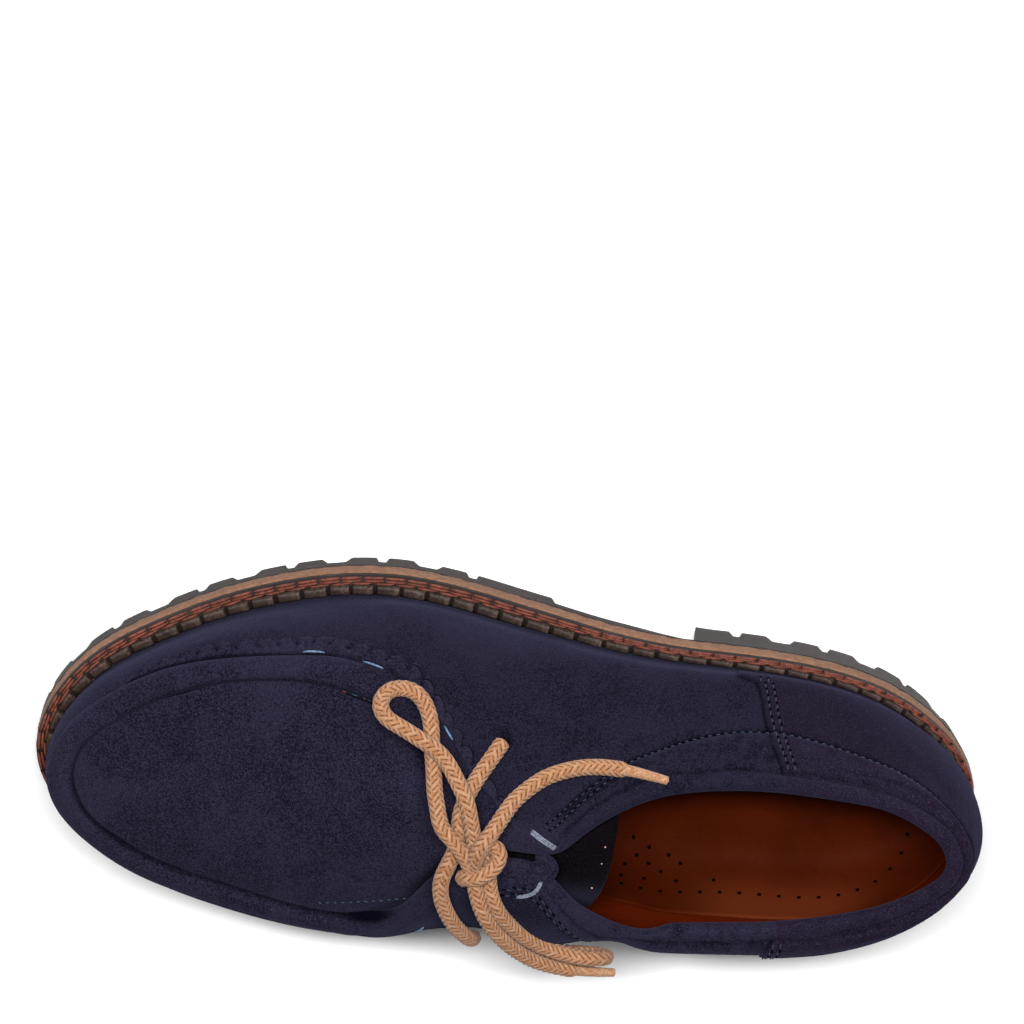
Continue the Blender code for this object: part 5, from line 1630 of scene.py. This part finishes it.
class SHOE_OT_footbed(bpy.types.Operator):
    """Makes the leather footbed and its perforations"""

    bl_idname = "shoe.footbed"
    bl_label = "Footbed"

    def execute(self, context):
        colours = context.scene.shoe_colours
        run = round_shoe(360)
        low, mid, high, centre, top = bed_surface(run)

        def under(part):
            at = centre + part * (low[:, :2] - centre)
            return np.column_stack([at, upper_bottom(at[:, 0]) + BED_SEAT])

        parts = np.linspace(0.985, 0.04, 34)
        rings = [under(0.04), under(0.4), under(0.8), low, mid, high] + [top(part) for part in parts]
        # Painted highlight on the footbed's rim over a few rows.
        pale = smooth_step(np.concatenate([np.zeros(3), np.ones(3), parts]), 0.76, 0.97)[:, None]
        pale = pale * between(run, PAINTED_LIGHT_ROWS, 28)
        body = Body()
        body.patch(rings, loaf_faces(len(rings), len(run)), pale=pale.ravel())
        look = leather_look("footbed_leather", colours.footbed, 0.5)
        body.build("insole", [look], "insole", ["insole"])
        self.holes()
        return {"FINISHED"}

    @staticmethod
    def holes():
        """Dark dots of painted shade for the holes along the inner rim of the footbed, evenly spread, and a
        cluster beside the tongue.
        """
        def on_bed(places):
            """Each place, then the points a little further along from it and further in."""
            row, inset = np.array(places).T
            for along, inward in ((0, 0), (0.6, 0), (0, 0.6)):
                _, _, high, centre, top = bed_surface(row_run(row) + along)
                reach = np.linalg.norm(high[:, :2] - centre, axis=1)
                yield top(1 - (inset + inward) / reach)

        row, inset = np.array(HOLE_LINE).T
        fine = np.linspace(row[0], row[-1], 400)
        line = np.column_stack([fine, cubic_through(row, inset, fine)])
        length = travelled(next(on_bed(line)))
        want = np.arange(0.5, length[-1], HOLE_STEP)
        places = np.column_stack([np.interp(want, length, values) for values in line.T])
        at, ahead, inward = on_bed(np.concatenate([places, HOLE_CLUSTER]))
        side = unit(ahead - at)
        normal = unit(np.cross(side, inward - at))
        normal *= np.sign(normal[:, 2:])
        at = at + normal * HOLE_LIFT
        body = Body()
        stitches(body, at - side * HOLE_HALF, at + side * HOLE_HALF, normal, 1.2, 0.2, sink=0.0)
        body.build("insole_holes", [hole_shade_look("hole_dark", HOLE_SHADE_LEATHER)], "insole")


class SHOE_OT_stitching(bpy.types.Operator):
    """Makes the hand stitches, the bar tacks and the machine seams"""

    bl_idname = "shoe.stitching"
    bl_label = "Stitching"

    def execute(self, context):
        sizes, colours = context.scene.shoe_sizes, context.scene.shoe_colours
        self.seams(sizes.seam_stitch / MM, colours)
        self.hand_work(colours)
        return {"FINISHED"}

    @staticmethod
    def seams(pitch, colours):
        """Sunk machine stitches: a thread and, past its end, a dark dot of painted shade for the hole it
        goes down.

        Each side has the long line under the collar, a shorter one over its front, and the counter's pair.
        """
        body, holes = Body(), Body()
        lines = []
        seam = row_run(COLLAR_SEAM_END)
        for inner_side in (False, True):
            side = -1 if inner_side else 1
            run = np.arange(0.0, seam, pitch)
            run = PERIMETER - run if inner_side else run
            lines.append((run, collar_line(run), side, 0, SEAM_THREAD))
            last = row_run(ROW_COUNT - COLLAR_SEAM_END) if inner_side else seam
            front = run[np.abs(run - last) < seam - row_run(DOUBLE_FROM)]
            lines.append((front, collar_line(front) - COLLAR_ROWS_APART, side, 0, SEAM_THREAD))
            for away in COUNTER_SEAMS:
                d = np.arange(*COUNTER_SEAM_DEPTHS, pitch)
                edge = row_run(counter_edge(d)) - away
                lines.append((PERIMETER - edge if inner_side else edge, d, 0, 1, COUNTER_THREAD))
        for run, d, along, down, wide in lines:
            def at(share, lift):
                return on_wall(run + along * pitch * share, d + down * pitch * share, lift)

            (start, up), (end, _), (gap, _) = at(0.0, 0.12), at(THREAD_SHARE, 0.12), at(HOLE_SHARE, 0.02)
            stitches(body, start, end, up, wide, THREAD_HIGH, 0.1)
            reach = (end - start) * 0.42
            # Painted shade: a dark dot where each thread goes down.
            stitches(holes, gap - reach, gap + reach, up, 0.75, 0.3, sink=0.0)
        body.build("seam_stitches", [thread_look("seam_thread", colours.seam_thread)], "upper")
        holes.build("seam_holes", [hole_shade_look("hole_shadow", HOLE_SHADE_SUEDE)], "upper")

    @staticmethod
    def hand_work(colours):
        """Threads of the moccasin seam, three or four side by side in a bar tack, and the tongue's dots."""
        looks = [thread_look("hand_thread", colours.hand_thread),
                 thread_look("orange_thread", ORANGE_THREAD), thread_look("edge_thread", EDGE_THREAD)]
        body = Body()
        for first, last, lift in HAND_STITCHES:
            rows, depths = zip(first, last)
            points, up = on_wall(row_run(rows), depths, lift)
            stitches(body, points[0], points[1], up[0], 0.72, 0.6, 0.4)
        for first, last, thread in SEAM_THREADS:
            points, up = on_wall(row_run((first, last)), 0.15, 0.35)
            stitches(body, points[0], points[1], up[0], 0.4, THREAD_HIGH, 0.15, thread)
        x = np.linspace(*APRON_SEAM[0], 12)
        y = np.interp(x, APRON_SEAM[0][::-1], APRON_SEAM[1][::-1])
        _, _, ridge_y, ridge_z, inner_y, inner_z = arch_at(x).T
        z = ridge_z + (inner_z - ridge_z) * ((y - ridge_y) / (inner_y - ridge_y)) ** 2 + 0.15
        start = np.column_stack([x, y, z])
        lean = np.tile([0.0, 0.5, 0.9], (len(x), 1))
        stitches(body, start, start + [-1.3, 0.1, 0.15], lean, 0.45, THREAD_HIGH, 0.1, 2)
        body.build("hand_stitches", looks, "upper")
        body = Body()
        for places, count, spread in ((TACKS[0], 4, 0.43), (TACKS[1], 3, 0.40)):
            path, _ = along_path(places, 0.6)
            _, side, _ = carried_frames(path)
            bow = 0.25 * np.sin(np.linspace(0, np.pi, len(path)))[:, None] * UP
            from_end = np.arange(len(path))
            close = np.clip(np.minimum(from_end, from_end[::-1]) / 1.5 + 0.35, 0, 1)
            for k in range(count):
                tube(body, path + side * (k - (count - 1) / 2) * spread + bow, 0.22 * close, 8)
        body.build("bar_tacks", [thread_look("tack_thread", colours.tack_thread)], "upper")
        body = Body()
        dots = np.array(TONGUE_DOTS)
        half = np.array([0.3, 0.0, 0.0])
        stitches(body, dots - half, dots + half, np.tile(UP, (len(dots), 1)), 0.6, 0.4, sink=0.0)
        body.build("tongue_dots", [thread_look("tongue_thread", TONGUE_THREAD)], "tongue")


class SHOE_PT_panel(bpy.types.Panel):
    """Lists the shoe's parts and their sizes and colours"""

    bl_idname = "SHOE_PT_panel"
    bl_label = "Shoe"
    bl_space_type = "VIEW_3D"
    bl_region_type = "UI"
    bl_category = "Shoe"

    def draw(self, context):
        column = self.layout.column()
        for operator in OPERATORS:
            column.operator(operator.bl_idname)
        for group in (context.scene.shoe_sizes, context.scene.shoe_colours):
            for name in group.__annotations__:
                column.prop(group, name)


GROUPS = (ShoeSizes, ShoeColours)
OPERATORS = (
    SHOE_OT_stage, SHOE_OT_lace, SHOE_OT_outsole, SHOE_OT_midsole, SHOE_OT_welt, SHOE_OT_upper,
    SHOE_OT_tongue, SHOE_OT_footbed, SHOE_OT_stitching)


def register():
    """Makes the classes known and gives the scene its sizes and colours."""
    for cls in (*GROUPS, *OPERATORS, SHOE_PT_panel):
        bpy.utils.register_class(cls)
    bpy.types.Scene.shoe_sizes = PointerProperty(type=ShoeSizes)
    bpy.types.Scene.shoe_colours = PointerProperty(type=ShoeColours)


def unregister():
    """Undoes register, in reverse."""
    del bpy.types.Scene.shoe_sizes
    del bpy.types.Scene.shoe_colours
    for cls in (SHOE_PT_panel, *reversed(OPERATORS), *reversed(GROUPS)):
        bpy.utils.unregister_class(cls)


def main():
    """Makes the shoe piece by piece."""
    register()
    for operator in OPERATORS:
        getattr(bpy.ops.shoe, operator.bl_idname.split(".")[1])()


if __name__ == "__main__":
    main()
